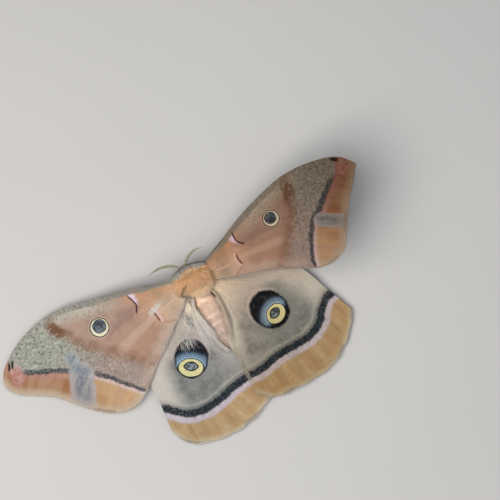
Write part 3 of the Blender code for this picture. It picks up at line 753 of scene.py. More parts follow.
def addEyespot(paint, pane):  # round pane with a painted reflection, cream ring, thin dark rim and a faint halo
    over, blend, rise, hump, plus = paint.over, paint.blend, paint.rise, paint.hump, paint.plus
    wobble, noise = paint.wobble, paint.noise
    x, y = paint.spotX, paint.spotY
    far = wobble(length(paint, x, y), 0.8, 0.05)
    inner = length(paint, plus(x, 0.05), plus(y, 0.11))
    inner = wobble(inner, 0.55, 0.07)
    over((0.60, 0.46, 0.36), hump(far, 1.06, 0.03, 0.08, 0.5))
    over((0.03, 0.025, 0.025), rise(far, 1.03, 0.97))
    cream = paint.clouds((0.80, 0.74, 0.52), (0.84, 0.80, 0.64), 1.6, 0.4, 0.6)
    over(cream, rise(far, 0.93, 0.87))
    over((0.025, 0.025, 0.03), rise(inner, 0.74, 0.67))
    glassy = rise(inner, 0.68, 0.60)
    # painted reflection: lighter grey blue clouds over the dark pane
    glint = noise(0.7, 2.0, paint.scaled(paint.place, (1.0, 0.4, 1.0)))
    glass = blend(pane, (0.19, 0.22, 0.26), rise(glint, 0.42, 0.66, 0.8))
    over(glass, glassy)
    return glassy


def paintForewing():
    paint = wingPaint("forewingScales")
    over, blend, rise, hump, times = paint.over, paint.blend, paint.rise, paint.hump, paint.times
    plus, minus, wobble, noise = paint.plus, paint.minus, paint.wobble, paint.noise
    attribute = paint.attribute
    u, w, lead, margin = paint.u, paint.w, paint.fromLead, paint.fromMargin
    black, rust = attribute("fromBlackLine"), attribute("fromRustBand")
    grey, inner = attribute("greyPatch"), paint.fromInner
    soft, mottle = noise(0.22, 3.0), noise(0.8, 4.0, roughness=0.65)

    # Ground: orange at the base, rosy tan in the middle, then grey cream in front and mauve behind
    base = blend((0.56, 0.31, 0.18), (0.66, 0.43, 0.29), rise(w, 0.25, 0.8))
    base = blend(base, (0.66, 0.52, 0.42), times(rise(mottle, 0.42, 0.68, 0.4), rise(w, 0.1, 0.4)))
    disc = blend((0.46, 0.31, 0.24), (0.47, 0.29, 0.205), rise(w, 0.35, 0.7))
    disc = blend(disc, (0.36, 0.22, 0.17), rise(soft, 0.45, 0.65, 0.5))
    outer = blend((0.37, 0.37, 0.305), (0.385, 0.30, 0.255), rise(wobble(w, 0.3, 0.12), 0.25, 0.6))
    paint.colour = blend(base, disc, rise(wobble(u, 0.3, 0.05), 0.24, 0.38))
    over(outer, rise(wobble(rust, 0.4, 2.5), -1.5, 3.5))
    wedge = attribute("fromWedge")
    shade = times(hump(u, 0.42, 0.1, 0.12), rise(wedge, -0.4, 0.5), rise(wedge, 5, 1))
    over((0.31, 0.19, 0.17), times(shade, 0.5))
    fold = hump(w, 0.62, 0.015, 0.05)
    over((0.66, 0.47, 0.37), times(fold, rise(u, 0.8, 0.55), 0.55))
    rear = times(rise(wobble(inner, 0.5, 1.2), 5.0, 1.5), rise(u, 0.95, 0.75))
    over((0.56, 0.43, 0.35), times(rear, 0.75))

    # Leading edge: a smooth grey strip that widens into speckled cream
    cream = times(rise(wobble(lead, 0.3, 1.5), 7.5, 2.0), rise(u, 0.25, 0.5), rise(u, 0.75, 0.6))
    over((0.56, 0.52, 0.43), times(cream, 0.85))
    strip = times(rise(wobble(lead, 0.5, 0.3), 2.4, 1.7), rise(u, 0.95, 0.35))
    over((0.26, 0.245, 0.215), times(strip, 0.92))

    # Rust band, broad and faint behind, stronger in a spot near the leading edge
    wide = hump(wobble(wobble(rust, 0.3, 1.8), 1.5, 0.8), 0.2, 0.4, 3.0)
    spot = times(hump(lead, 5.4, 1.4, 3.2), hump(rust, 0.3, 1.1, 1.6))
    uneven = plus(0.28, rise(noise(0.25, 2.0), 0.38, 0.62, 0.34))
    over((0.25, 0.125, 0.08), times(wide, uneven))
    rusty = blend((0.225, 0.115, 0.068), (0.17, 0.062, 0.024), attribute("leftness"))
    over(rusty, times(spot, 0.85))

    # Strokes between base and disc, the front one with a pink white wedge on its inner side
    front = attribute("fromFrontStroke")
    reach = plus(front, minus(3.1, times(lead, 0.42)))
    white = times(rise(wobble(reach, 0.8, 0.5), -0.4, 0.8), rise(front, 0.15, -0.25),
                  rise(lead, 6.6, 4.5), rise(lead, 1.5, 2.4))
    over((0.80, 0.62, 0.74), white)
    over((0.075, 0.03, 0.04), hump(wobble(front, 1.0, 0.15), 0.0, 0.1, 0.36))
    middle = attribute("fromMiddleStroke")
    over((0.76, 0.56, 0.52), hump(middle, -0.8, 0.2, 0.6, 0.75))
    over((0.24, 0.065, 0.05), hump(wobble(middle, 1.0, 0.1), 0.0, 0.15, 0.45, 0.9))
    hind = attribute("fromRearStroke")
    over((0.42, 0.18, 0.14), hump(wobble(hind, 0.6, 0.3), 0.0, 0.1, 0.55, 0.5))
    scuff = rise(wobble(wobble(attribute("scuff"), 1.1, 0.7, detail=4.0), 0.4, 0.3), 0.25, 1.0)
    wispy = rise(streaky(paint, 4.0, (1.6, 0.3, 1.0)), 0.36, 0.56)
    over((0.68, 0.66, 0.60), times(scuff, plus(0.35, times(wispy, 0.5))))

    # Specks: dark and pale scales, thickest in front and towards the tip
    zone = paint.maths("MAXIMUM", times(rise(rust, -2, 3), rise(w, 1.3, 0.2)),
                       times(rise(lead, 8.0, 2.0, 0.8), rise(u, 0.3, 0.45)))
    dark = rise(noise(1.25, 2.0), 0.52, 0.66)
    pale = rise(noise(1.0, 2.0, paint.scaled(paint.place, (-1.1, 1.0, 1.0))), 0.52, 0.68)
    over((0.13, 0.125, 0.105), times(dark, zone, 0.75))
    over((0.60, 0.59, 0.50), times(pale, zone, 0.65))

    # Outer border: ochre beyond a broken black line that has a blush on its outer edge
    ochre = blend((0.38, 0.175, 0.082), (0.60, 0.38, 0.205), rise(w, 0.4, 0.68))
    cells = streaky(paint, 2.0, (0.4, 0.17, 1.0))
    ochre = blend(ochre, (0.50, 0.33, 0.22), rise(cells, 0.45, 0.6, 0.55))
    ochre = blend(ochre, (0.34, 0.18, 0.08), times(rise(cells, 0.44, 0.34), hump(margin, 3.8, 0.8, 2.6), 0.4))
    ochre = blend(ochre, (0.55, 0.43, 0.30), rise(wobble(margin, 0.8, 0.5), 3.4, 0.9, 0.85))
    over(ochre, rise(wobble(black, 0.8, 0.3), 0.2, 1.2))
    depth = plus(2.6, rise(w, 0.35, 0.6, -1.0))
    blush = times(rise(wobble(black, 0.7, 0.5), 0.2, 0.8),
                  rise(minus(wobble(black, 0.7, 0.6), depth), 1.0, -0.9))
    tint = blend((0.50, 0.25, 0.215), (0.74, 0.57, 0.55), rise(w, 0.3, 0.55))
    over(tint, times(blush, plus(0.55, rise(w, 0.4, 0.65, 0.35))))
    ragged = wobble(wobble(black, 2.2, 0.55, detail=3.0), 0.6, 0.7)
    thin = plus(0.15, rise(w, 0.95, 0.45, 0.3))
    away = minus(paint.maths("ABSOLUTE", ragged), thin)
    line = times(rise(away, 0.85, 0.05), rise(lead, 4.5, 9.0))
    broken = plus(0.62, rise(noise(1.6, 3.0), 0.42, 0.55, 0.34))
    line = times(line, broken, minus(1.0, times(grey, 0.75)))
    over((0.04, 0.05, 0.065), line)

    # Worn grey patch over the border: slate, pale wisps along the veins and open edges
    wisps = streaky(paint, 4.0, (0.9, 0.25, 1.0))
    core = wobble(wobble(attribute("greyCore"), 0.35, 0.25), 1.6, 0.2)
    slate = blend((0.46, 0.44, 0.42), (0.15, 0.205, 0.255), rise(core, 0.3, 0.8, 0.95))
    slate = blend(slate, (0.32, 0.37, 0.40), rise(mottle, 0.42, 0.62, 0.7))
    slate = blend(slate, (0.54, 0.51, 0.49), rise(wisps, 0.46, 0.66, 0.55))
    slate = blend(slate, (0.44, 0.40, 0.37), rise(margin, 4.5, 1.0, 0.75))
    edge = rise(wobble(wobble(grey, 0.5, 0.3), 1.8, 0.25), 0.2, 0.85)
    over(slate, times(edge, 0.82))

    # Tip: a pink red blur and black dashes, and a pale edge all round
    red = paint.clouds((0.50, 0.20, 0.19), (0.60, 0.36, 0.32), 0.7, 0.36, 0.62, 3.0)
    tip = rise(wobble(wobble(attribute("apexRed"), 0.5, 0.35), 2.0, 0.25), 0.15, 1.05)
    over(red, times(tip, 0.78))
    over((0.02, 0.02, 0.02), attribute("dashes"))
    over((0.60, 0.50, 0.39), rise(margin, 0.9, 0.3, 0.7))
    return finishScales(paint, addEyespot(paint, (0.03, 0.04, 0.055)))


def paintHindwing():
    paint = wingPaint("hindwingScales")
    over, blend, rise, hump, times = paint.over, paint.blend, paint.rise, paint.hump, paint.times
    plus, wobble, noise, attribute = paint.plus, paint.wobble, paint.noise, paint.attribute
    u, w, lead, margin = paint.u, paint.w, paint.fromLead, paint.fromMargin
    band, inner = attribute("fromBlackBand"), paint.fromInner
    soft, mottle = noise(0.2, 3.0), noise(0.9, 4.0, roughness=0.65)

    # Ground: grey brown, cream towards the leading edge, tan and pinkish at the base
    disc = blend((0.235, 0.235, 0.208), (0.33, 0.30, 0.27), rise(w, 0.5, 0.95))
    disc = blend(disc, (0.15, 0.147, 0.13), rise(soft, 0.45, 0.65, 0.6))
    disc = blend(disc, (0.42, 0.385, 0.34), rise(mottle, 0.52, 0.68, 0.45))
    creamy = times(rise(wobble(lead, 0.2, 2.0), 11.0, 2.5), rise(u, 0.95, 0.7))
    paint.colour = blend(disc, (0.62, 0.54, 0.46), creamy)
    over((0.50, 0.40, 0.335), rise(wobble(u, 0.2, 0.1), 0.44, 0.2))
    over((0.60, 0.45, 0.30), rise(u, 0.2, 0.05, 0.8))
    over((0.44, 0.405, 0.36), rise(inner, 5.0, 1.0, 0.75))

    # Border: a faint pale line, the black band, a pink white bloom and then blotched ochre
    jagged = wobble(wobble(band, 1.0, 0.45, paint.streaks), 0.35, 0.5)
    fuzzy = wobble(jagged, 1.5, 0.45)
    over((0.47, 0.43, 0.36), hump(fuzzy, -3.0, 0.1, 0.8, 0.5))
    over((0.17, 0.15, 0.13), hump(fuzzy, -1.9, 0.1, 0.9, 0.5))
    cells = streaky(paint, 2.0, (0.3, 0.16, 1.0))
    ochre = paint.clouds((0.51, 0.315, 0.15), (0.56, 0.375, 0.20), 0.3, 0.4, 0.6)
    blotch = times(rise(wobble(cells, 0.3, 0.15), 0.36, 0.66), rise(wobble(margin, 0.4, 1.2), 0.8, 3.8))
    ochre = blend(ochre, (0.36, 0.20, 0.08), times(blotch, 0.62))
    rays = streaky(paint, 3.0, (0.14, 0.5, 1.0))
    ochre = blend(ochre, (0.60, 0.46, 0.28), rise(rays, 0.48, 0.7, 0.3))
    ochre = blend(ochre, (0.58, 0.46, 0.31), rise(wobble(margin, 0.8, 0.5), 2.0, 0.5, 0.75))
    over(ochre, rise(fuzzy, 1.9, 3.7))
    bloom = plus(0.62, rise(noise(0.8, 3.0), 0.35, 0.6, 0.3))
    bloom = times(hump(fuzzy, 1.95, 0.55, 1.2), bloom)
    over((0.66, 0.53, 0.56), bloom)
    dark = plus(0.86, rise(noise(1.5, 3.0), 0.4, 0.56, 0.13))
    over((0.010, 0.017, 0.025), times(hump(fuzzy, -0.2, 0.95, 0.8), dark))
    over((0.66, 0.57, 0.44), rise(margin, 0.6, 0.2, 0.75))

    # Ocellus: a black oval, a blue crescent and a yellow ring round a dark pane with a painted reflection
    x = paint.spotX
    oval = length(paint, attribute("ovalX"), attribute("ovalY"))
    oval = wobble(wobble(oval, 0.3, 0.06), 1.5, 0.06)
    ring = length(paint, attribute("ringX"), attribute("ringY"))
    ring = wobble(ring, 0.5, 0.04)
    halo = times(hump(oval, 1.06, 0.02, 0.1), rise(x, 1.0, -4.0, 0.55))
    over((0.55, 0.45, 0.43), halo)
    over((0.006, 0.006, 0.008), rise(oval, 1.05, 0.92))
    worn = rise(noise(0.8, 3.0), 0.5, 0.7, 0.25)
    over((0.10, 0.11, 0.12), times(worn, rise(x, 0.0, -4.0), rise(oval, 1.0, 0.8)))
    blue = blend((0.02, 0.035, 0.055), (0.17, 0.25, 0.335), rise(wobble(ring, 0.9, 0.12), 1.95, 1.25))
    crescent = times(rise(ring, 2.1, 1.5), rise(x, 4.4, 2.0), rise(oval, 0.97, 0.8))
    over(blue, crescent)
    pale = times(hump(ring, 1.13, 0.02, 0.06), rise(x, 3.6, 1.4), 0.85)
    over((0.36, 0.47, 0.55), pale)
    over((0.008, 0.008, 0.010), hump(ring, 1.03, 0.02, 0.035))
    yellow = paint.clouds((0.66, 0.58, 0.26), (0.72, 0.66, 0.36), 1.4, 0.4, 0.6)
    over(yellow, rise(ring, 1.0, 0.95))
    paneX, paneY = attribute("paneX"), attribute("paneY")
    flatter = plus(times(paneX, paneX, 0.5), times(paint.maths("ABSOLUTE", paneX), 0.5))
    lens = wobble(plus(flatter, times(paneY, paneY)), 0.8, 0.1)
    over((0.010, 0.010, 0.012), rise(lens, 1.1, 0.95))
    glassy = rise(lens, 0.72, 0.6)
    # painted reflection: lighter grey clouds over the dark pane
    glass = paint.clouds((0.05, 0.055, 0.055), (0.23, 0.27, 0.28), 0.9, 0.4, 0.62)
    over(glass, glassy)
    return finishScales(paint, glassy)


def paintUnderside(kind):
    paint = wingPaint(kind + "wingUnderside")
    over, blend, rise, hump, times = paint.over, paint.blend, paint.rise, paint.hump, paint.times
    wobble, noise, attribute = paint.wobble, paint.noise, paint.attribute
    fromBand = attribute("fromBlackLine" if kind == "fore" else "fromBlackBand")
    mottle = noise(0.5, 4.0, roughness=0.6)
    paint.colour = blend((0.30, 0.22, 0.185), (0.44, 0.36, 0.31), rise(mottle, 0.4, 0.62))
    bar = times(hump(wobble(paint.u, 0.3, 0.05), 0.5, 0.04, 0.1), 0.75)
    over((0.20, 0.12, 0.09), bar)
    over((0.50, 0.43, 0.36), rise(wobble(fromBand, 0.5, 0.6), 0.5, 2.0, 0.8))
    over((0.12, 0.085, 0.075), hump(wobble(fromBand, 0.6, 0.8), 0.0, 0.4, 0.7, 0.8))
    dots = rise(noise(1.4, 2.0), 0.54, 0.68, 0.6)
    over((0.11, 0.085, 0.075), dots)
    if kind == "fore":
        glassy = addEyespot(paint, (0.03, 0.04, 0.055))
    else:
        ring = length(paint, attribute("ringX"), attribute("ringY"))
        over((0.10, 0.07, 0.06), rise(ring, 1.05, 0.95))
        over((0.62, 0.52, 0.33), rise(ring, 0.8, 0.75))
        glassy = rise(ring, 0.55, 0.5)
        over((0.05, 0.055, 0.06), glassy)
    return finishScales(paint, glassy)


wingTop = {"fore": paintForewing(), "hind": paintHindwing()}
wingUnder = {kind: paintUnderside(kind) for kind in wingKinds}
for wingName in wings:
    makeWing(wingName)
print("wings ready")


# Skin: head, thorax, abdomen and legs as one surface under the coat

skin = {
    "voxel": 0.17,
    "thoraxShare": 0.97,
    "abdomenInset": 0.5,
    "headInset": 0.3,
    "neckStart": (0.2, -3.0, -0.6),  # from the thorax's centre
    "neckRadii": (2.4, 1.5),
    "palpStart": (0.6, -1.1, -1.4),  # from the head's centre
    "palpSteps": ((0.0, -0.2, -0.6), (0.0, 0.1, -0.8)),
    "palpRadii": (0.36, 0.39, 0.2),
    "legInset": 0.12,
    "ringDepth": 0.07,
}
legs = {
    "front": {
        "root": (0.6, -0.38, -0.7),
        "path": (
            (6.0, -4.0, 4.9), (8.9, -4.9, 4.3), (11.4, -5.3, 1.7), (12.5, -5.5, 0.4), (15.1, -6.3, 0.34),
        ),
    },
    "mid": {
        "root": (0.68, 0.04, -0.73),
        "path": ((7.2, 0.9, 5.2), (9.6, 1.3, 4.7), (11.6, 1.8, 1.7), (12.6, 2.1, 0.4), (15.2, 2.7, 0.34)),
    },
    "hind": {
        "root": (0.55, 0.52, -0.65),
        "path": ((7.6, 6.6, 4.7), (9.4, 9.2, 4.3), (11.2, 12.2, 1.6), (11.9, 13.6, 0.4), (13.2, 16.2, 0.34)),
    },
}
legRadii = (0.85, 0.85, 0.7, 0.62, 0.5, 0.42)


def legPath(leg, side):
    root = body["thoraxCentre"] + body["thoraxHalf"] * unit(np.array(leg["root"])) * 0.85
    return np.array([root, *leg["path"]]) * (side, 1, 1)


def allLegPaths():
    return [(legPath(leg, side), side) for _, side in sides for leg in legs.values()]


def addLimb(shape, points, radii, around, steps):  # a tube with rounded ends
    points, radii = np.asarray(points, float), np.asarray(radii, float)
    lengths = np.concatenate([[0], np.cumsum(np.linalg.norm(np.diff(points, axis=0), axis=1))])
    share = (1 - np.cos(np.linspace(0, math.pi, steps + 1))) / 2
    run = share * lengths[-1]
    radius = np.interp(run, lengths, radii)
    fromEnd = np.minimum(run, lengths[-1] - run) / radius
    radius = radius * np.sqrt(np.clip(1 - (1 - np.minimum(fromEnd, 1)) ** 2, 0, 1))
    centres = np.column_stack([np.interp(run, lengths, points[:, axis]) for axis in range(3)])
    addTube(shape, centres, radius, radius, around, (0.13, 0.21, 1.0))


def abdomenRing(y):  # 0 in the grooves between the segments, 1 on their backs
    start, end = body["abdomenEnds"]
    return np.abs(np.sin(math.pi * body["abdomenRings"] * (y - start) / (end - start)))


def applyModifiers(piece):
    graph = bpy.context.evaluated_depsgraph_get()
    made = bpy.data.meshes.new_from_object(piece.evaluated_get(graph))
    piece.modifiers.clear()
    piece.data = made


def makeSkin(material):
    shape = bmesh.new()
    addBall(shape, body["thoraxCentre"], body["thoraxHalf"] * skin["thoraxShare"], 48, 32)
    addBall(shape, body["headCentre"], body["headHalf"] - skin["headInset"], 40, 28)
    neck = (body["thoraxCentre"] + skin["neckStart"], body["headCentre"])
    addLimb(shape, neck, skin["neckRadii"], 24, 16)
    for _, side in sides:
        start = body["headCentre"] + np.array(skin["palpStart"]) * (side, 1, 1)
        steps = [start]
        for step in skin["palpSteps"]:
            steps.append(steps[-1] + step)
        addLimb(shape, steps, skin["palpRadii"], 12, 20)
        for leg in legs.values():
            addLimb(shape, legPath(leg, side), np.array(legRadii) - skin["legInset"], 14, 60)
    start, end = body["abdomenEnds"]
    alongY = np.concatenate([np.linspace(start - 2.6, end - 2, 40), np.linspace(end - 1.8, end - 0.55, 12)])
    centreX, centreZ, halfWidth, halfHeight = abdomenAt(alongY)
    thin = skin["abdomenInset"]
    halfWidth, halfHeight = np.maximum(halfWidth - thin, 0.02), np.maximum(halfHeight - thin, 0.02)
    halfWidth[[0, -1]], halfHeight[[0, -1]] = 0, 0
    addTube(shape, np.column_stack([centreX, alongY, centreZ]), halfWidth, halfHeight, 48)
    faceOutwards(shape)
    piece = finishMesh("skin", shape, (material,))
    merge = piece.modifiers.new("merge", "REMESH")
    merge.mode = "VOXEL"
    merge.voxel_size = skin["voxel"] * millimetre
    applyModifiers(piece)

    shape = bmesh.new()
    shape.from_mesh(piece.data)
    allWays = {"use_axis_x": True, "use_axis_y": True, "use_axis_z": True}
    for _ in range(3):
        bmesh.ops.smooth_vert(shape, verts=shape.verts, factor=0.5, **allWays)
    shape.normal_update()
    for vert in shape.verts:
        x, y, z = fromScene(np.array(vert.co))
        if body["abdomenEnds"][0] + 2.5 < y and abs(x) < 6 and z > 1.6:
            vert.co += vert.normal * float((abdomenRing(y) ** 0.5 - 1) * skin["ringDepth"] * millimetre)
    shape.to_mesh(piece.data)
    shape.free()
    piece.data.shade_smooth()
    legNodes = [f"leg_{leg}_{side}" for leg in legs for side, _ in sides]
    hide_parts("head", "thorax", "abdomen", *legNodes)
    return piece


# Body colours, shared by the skin and the coat

def near(points, centre, reach, soft=1.0):
    away = np.linalg.norm((points - centre) / reach, axis=1)
    return smoothStep((1 + soft - away) / soft)


def nearLine(points, start, end, half, soft):
    away = np.linalg.norm(fromStep(points, start, end)[1], axis=1)
    return smoothStep((half + soft - away) / soft)


def skinParts(points):  # how much each point belongs to the head, abdomen and legs
    start = body["abdomenEnds"][0]
    inHead = near(points, body["headCentre"], body["headHalf"] + 0.35, 0.15)
    inAbdomen = smoothStep((points[:, 1] - start - 1.0) / 1.0) * (np.abs(points[:, 0]) < 6.2)
    inLegs = np.zeros(len(points))
    for path, _ in allLegPaths():
        for first, second, radius in zip(path[:-1], path[1:], legRadii[1:]):
            inLegs = np.maximum(inLegs, nearLine(points, first, second, radius + 0.25, 0.1))
    ball = np.linalg.norm((points - body["thoraxCentre"]) / body["thoraxHalf"], axis=1)
    inLegs = inLegs * smoothStep((ball - 0.99) / 0.08)
    return inHead * (1 - inLegs), inAbdomen * (1 - inLegs), inLegs


def coatColour(points):
    _, y, z = points.T
    inHead, inAbdomen, inLegs = skinParts(points)
    # paler towards the rear: the wool's own cream, made paler still as painted light on the rear slope
    colour = mixed((0.94, 0.58, 0.30), (1.0, 0.75, 0.46), smoothStep((y - 1.0) / 3.5))
    behindCollar = smoothStep((0.8 - np.abs(y + 2.7)) / 0.8)
    colour = mixed(colour, (0.62, 0.34, 0.16), behindCollar * 0.6 * (z > 6))
    colour = mixed(colour, collar["layers"][0]["colour"], smoothStep((-4.6 - y) / 0.4) * (z > 5))
    colour = mixed(colour, (0.50, 0.34, 0.22), smoothStep((6.0 - z) / 3.0) * 0.8)
    flat = points * (1, 1, 0)
    scuff = nearLine(flat, (3.3, -0.4, 0), (4.3, 2.0, 0), 0.1, 0.45) * 0.8
    scuff = np.maximum(scuff, nearLine(flat, (3.9, 2.2, 0), (4.5, 3.6, 0), 0.45, 0.5))
    scuff = np.maximum(scuff, nearLine(flat, (4.2, 3.6, 0), (1.8, 5.8, 0), 0.2, 0.4)) * (z > 6.5)
    colour = mixed(colour, (0.07, 0.05, 0.03), scuff * 0.92)
    along = np.clip((y - body["abdomenEnds"][0]) / 24.0, 0, 1)
    peach = mixed((1.0, 0.74, 0.55), (0.84, 0.63, 0.53), smoothStep((along - 0.15) / 0.4))
    peach = mixed(peach, (0.50, 0.36, 0.30), smoothStep((along - 0.85) / 0.15) * 0.8)
    # painted shade in the grooves between the segments
    peach = mixed(peach, (0.80, 0.58, 0.44), (1 - smoothStep(abdomenRing(y) / 0.35)) * 0.3)
    # painted shade: darker low on the abdomen's sides, beside the hindwings
    peach = mixed(peach, (0.55, 0.37, 0.27), smoothStep((5.0 - z) / 2.5) * 0.7)
    colour = mixed(colour, peach, inAbdomen)
    colour = mixed(colour, (0.42, 0.31, 0.22), inHead)
    return mixed(colour, (0.42, 0.26, 0.155), inLegs)


def paintSkin():
    paint = Paint("skinFuzz", 0.8, sheen=0.3, gloss=0.2)
    paint.colour = paint.colourAttribute("coat")
    paint.grain(2.2, 0.25)
    lie = paint.scaled(paint.place, (1.0, 0.22, 1.0))  # short hair lies front to back
    height = paint.plus(paint.noise(6.0, 3.0, lie), paint.times(paint.noise(2.0), 0.5))
    return paint.finish(height, 0.12, 0.9)


# Coat: thin bent tufts, one shape repeated through arrays

def tuftShape(rings):  # a three sided tuft: Z is 0 at the root and 1 at the tip
    shape = bmesh.new()
    bmesh.ops.create_circle(shape, cap_ends=True, segments=3, radius=1.0)  # its first corner is the ridge
    top = list(shape.faces)
    bmesh.ops.reverse_faces(shape, faces=top)
    for ring in range(1, rings + 1):
        made = bmesh.ops.extrude_face_region(shape, geom=top)["geom"]
        bmesh.ops.delete(shape, geom=top if ring > 1 else [], context="FACES_ONLY")
        for vert in [item for item in made if isinstance(item, bmesh.types.BMVert)]:
            vert.co.z = ring / rings
        top = [item for item in made if isinstance(item, bmesh.types.BMFace)]
    tip = list(top[0].verts)
    bmesh.ops.pointmerge(shape, verts=tip, merge_co=(0, 0, 1))
    bmesh.ops.triangulate(shape, faces=shape.faces)
    faceOutwards(shape)
    shape.verts.index_update()
    points = np.array([vert.co[:] for vert in shape.verts])
    faces = np.array([[vert.index for vert in face.verts] for face in shape.faces])
    shape.free()
    return points, faces


tuftLevels = 4
rootSink = 0.12  # how deep a tuft starts under the skin
tuftShares = np.linspace(0, 1, tuftLevels)
tuftPoints, tuftFaces = tuftShape(tuftLevels - 1)


def growTufts(name, tufts, material):  # one piece from arrays of tufts along centre lines
    centres = tufts["centres"]  # tuft, level, place
    count, points = len(centres), tuftPoints
    level = np.rint(points[:, 2] * (tuftLevels - 1)).astype(int)
    along = unit(np.gradient(centres, axis=1))
    side = unit(np.cross(along, tufts["normals"][:, None]))
    upper = np.cross(side, along)
    taper = tufts["widths"][:, None] * (1 - 0.75 * points[None, :, 2] ** 1.5)
    wide = points[None, :, 0, None] * side[:, level] + points[None, :, 1, None] * upper[:, level] * 0.4
    placed = centres[:, level] + wide * taper[..., None]
    placed[..., 2] = np.maximum(placed[..., 2], 0.03)  # nothing dips into the floor
    mesh = bpy.data.meshes.new(name)
    mesh.vertices.add(count * len(points))
    mesh.vertices.foreach_set("co", toScene(placed).astype(np.float32).ravel())
    corners = (tuftFaces[None] + (np.arange(count) * len(points))[:, None, None]).astype(np.int32).ravel()
    mesh.loops.add(len(corners))
    mesh.loops.foreach_set("vertex_index", corners)
    mesh.polygons.add(len(corners) // 3)
    mesh.polygons.foreach_set("loop_start", np.arange(0, len(corners), 3, dtype=np.int32))
    mesh.update(calc_edges=True)
    piece = addObject(name, mesh, (material,))
    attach(piece, "root")
    setAttribute(piece, "coat", np.repeat(tufts["colours"], len(points), axis=0))
    setAttribute(piece, "along", np.tile(points[:, 2], count))
    setAttribute(piece, "shade", np.repeat(tufts["shades"], len(points)))
    patch = np.column_stack([points[:, 0] * 0.0015, points[:, 2] * 0.003])
    setMap(piece, "OFBake", (tufts["maps"][:, None] + patch[None]).reshape(-1, 2))
    return piece


def paintCoat(name, roughness=0.75, sheen=0.35):
    paint = Paint(name, roughness, sheen=sheen, gloss=0.2)
    along, shade = paint.attribute("along"), paint.attribute("shade")
    # painted shade: each tuft darker towards its root, under the tufts that lie over it
    bright = paint.plus(0.82, paint.times(paint.rise(along, 0.0, 0.5), 0.18))
    bright = paint.times(bright, paint.plus(0.86, paint.times(shade, 0.34)))
    paint.colour = paint.colourAttribute("coat")
    paint.brighten(bright)
    paint.grain(3.0, 0.15)
    return paint.finish(paint.noise(14.0, 2.0), 0.03, 0.5)


def scatter(piece, facts, chance):  # random places on a mesh, most where chance() is high
    random = np.random.default_rng(facts["seed"])
    count, mesh = facts["count"], piece.data
    mesh.calc_loop_triangles()
    corners = readArray(mesh.loop_triangles, "vertices", 3, np.int32)
    points = fromScene(readArray(mesh.vertices, "co", 3)[corners].astype(float))
    normals = readArray(mesh.vertices, "normal", 3)[corners]
    area = np.linalg.norm(np.cross(points[:, 1] - points[:, 0], points[:, 2] - points[:, 0]), axis=1)
    weight = area * chance(points.mean(axis=1))
    chosen = random.choice(len(corners), count, p=weight / weight.sum())
    a, b = random.random((2, count, 1))
    over = a + b > 1
    a, b = np.where(over, 1 - a, a), np.where(over, 1 - b, b)
    share = np.stack([1 - a - b, a, b], axis=1)
    return (points[chosen] * share).sum(axis=1), unit((normals[chosen] * share).sum(axis=1)), random


def onSurface(direction, normals):
    return unit(direction - (direction * normals).sum(axis=1, keepdims=True) * normals)


def roundMap(points, centre, low, high):  # unrolls round the body's long axis
    turn = np.arctan2(points[:, 0] - centre[0], points[:, 2] - centre[2]) / (2 * math.pi) + 0.5
    return np.column_stack([0.02 + 0.96 * turn, 0.02 + 0.96 * (points[:, 1] - low) / (high - low)])


coats = {  # colourLevel: the place along a tuft, 0 to 3, whose spot on the moth gives its colour
    "thorax": {
        "count": 12000, "length": (2.2, 3.8), "width": (0.07, 0.11), "lift": (0.2, 0.5), "end": (-0.3, 0.1),
        "stray": 0.24, "colourLevel": 2, "seed": 11,
        "overWing": 2.8, "ahead": -0.7, "aheadRise": 0.5, "rearRise": 1.9,  # how far tips move
    },
    "abdomen": {
        "count": 12000, "length": (1.3, 2.1), "width": (0.05, 0.08), "lift": (0.1, 0.25), "end": (-0.1, 0.05),
        "stray": 0.12, "colourLevel": 1, "seed": 12,
    },
    "head": {
        "count": 3600, "length": (0.7, 1.2), "width": (0.045, 0.065), "lift": (0.4, 0.7), "end": (0.0, 0.4),
        "stray": 0.3, "colourLevel": 0, "seed": 13,
    },
    "legs": {
        "count": 7200, "length": (0.45, 0.95), "width": (0.035, 0.05), "lift": (0.35, 0.6), "end": (0.0, 0.3),
        "stray": 0.25, "colourLevel": 0, "seed": 14,
        "lengthByPart": (1.0, 1.0, 0.85, 0.6, 0.45),  # from root to toe
    },
}
collar = {  # two layers, grey below and tan over it; edges are where the tips end, seen from above
    "layers": (
        {
            "count": 3600, "seed": 15, "edge": -7.05, "colour": (0.47, 0.45, 0.40), "arch": 0.9,
            "tipHeight": 8.3,
        },
        {
            "count": 2200, "seed": 16, "edge": -5.75, "colour": (0.94, 0.58, 0.31), "arch": 1.0,
            "tipHeight": 9.9,
        },
    ),
    "rootsFrom": -3.1, "rootsLowest": 7.6,
    "edgeBend": 0.035, "edgeMiddle": 1.2,
    "spread": (1.15, 0.3),
    "overWings": 10.15,
    "width": (0.06, 0.09),
    "darkShare": 0.12, "dark": (0.36, 0.20, 0.10),
}


def bentLines(roots, first, last, lengths):  # leaves along first, ends along last
    t = tuftShares[None, :, None]
    ways = t * first[:, None] + t ** 2 / 2 * (last - first)[:, None]
    return roots[:, None] + lengths[:, None, None] * ways


def slanted(lies, normals, angles):
    return unit(lies) * np.cos(angles)[:, None] + normals * np.sin(angles)[:, None]


def coatTufts(kind, roots, normals, lies, maps, random, scale=1.0):
    facts = coats[kind]
    count = len(roots)
    lies = onSurface(unit(lies) + random.normal(0, facts["stray"], (count, 3)), normals)
    first = slanted(lies, normals, random.uniform(*facts["lift"], count))
    last = slanted(lies, normals, random.uniform(*facts["end"], count))
    lengths = random.uniform(*facts["length"], count) * scale
    centres = bentLines(roots - normals * rootSink, first, last, lengths)
    return {
        "centres": centres, "normals": normals, "maps": maps,
        "widths": random.uniform(*facts["width"], count), "shades": random.random(count),
        "colours": coatColour(centres[:, facts["colourLevel"]]),
    }


def collarChance(points):
    onTop = smoothStep((points[:, 2] - collar["rootsLowest"]) / 0.6)
    return onTop * smoothStep((collar["rootsFrom"] - points[:, 1]) / 0.3) * (np.abs(points[:, 0]) < 3.6)


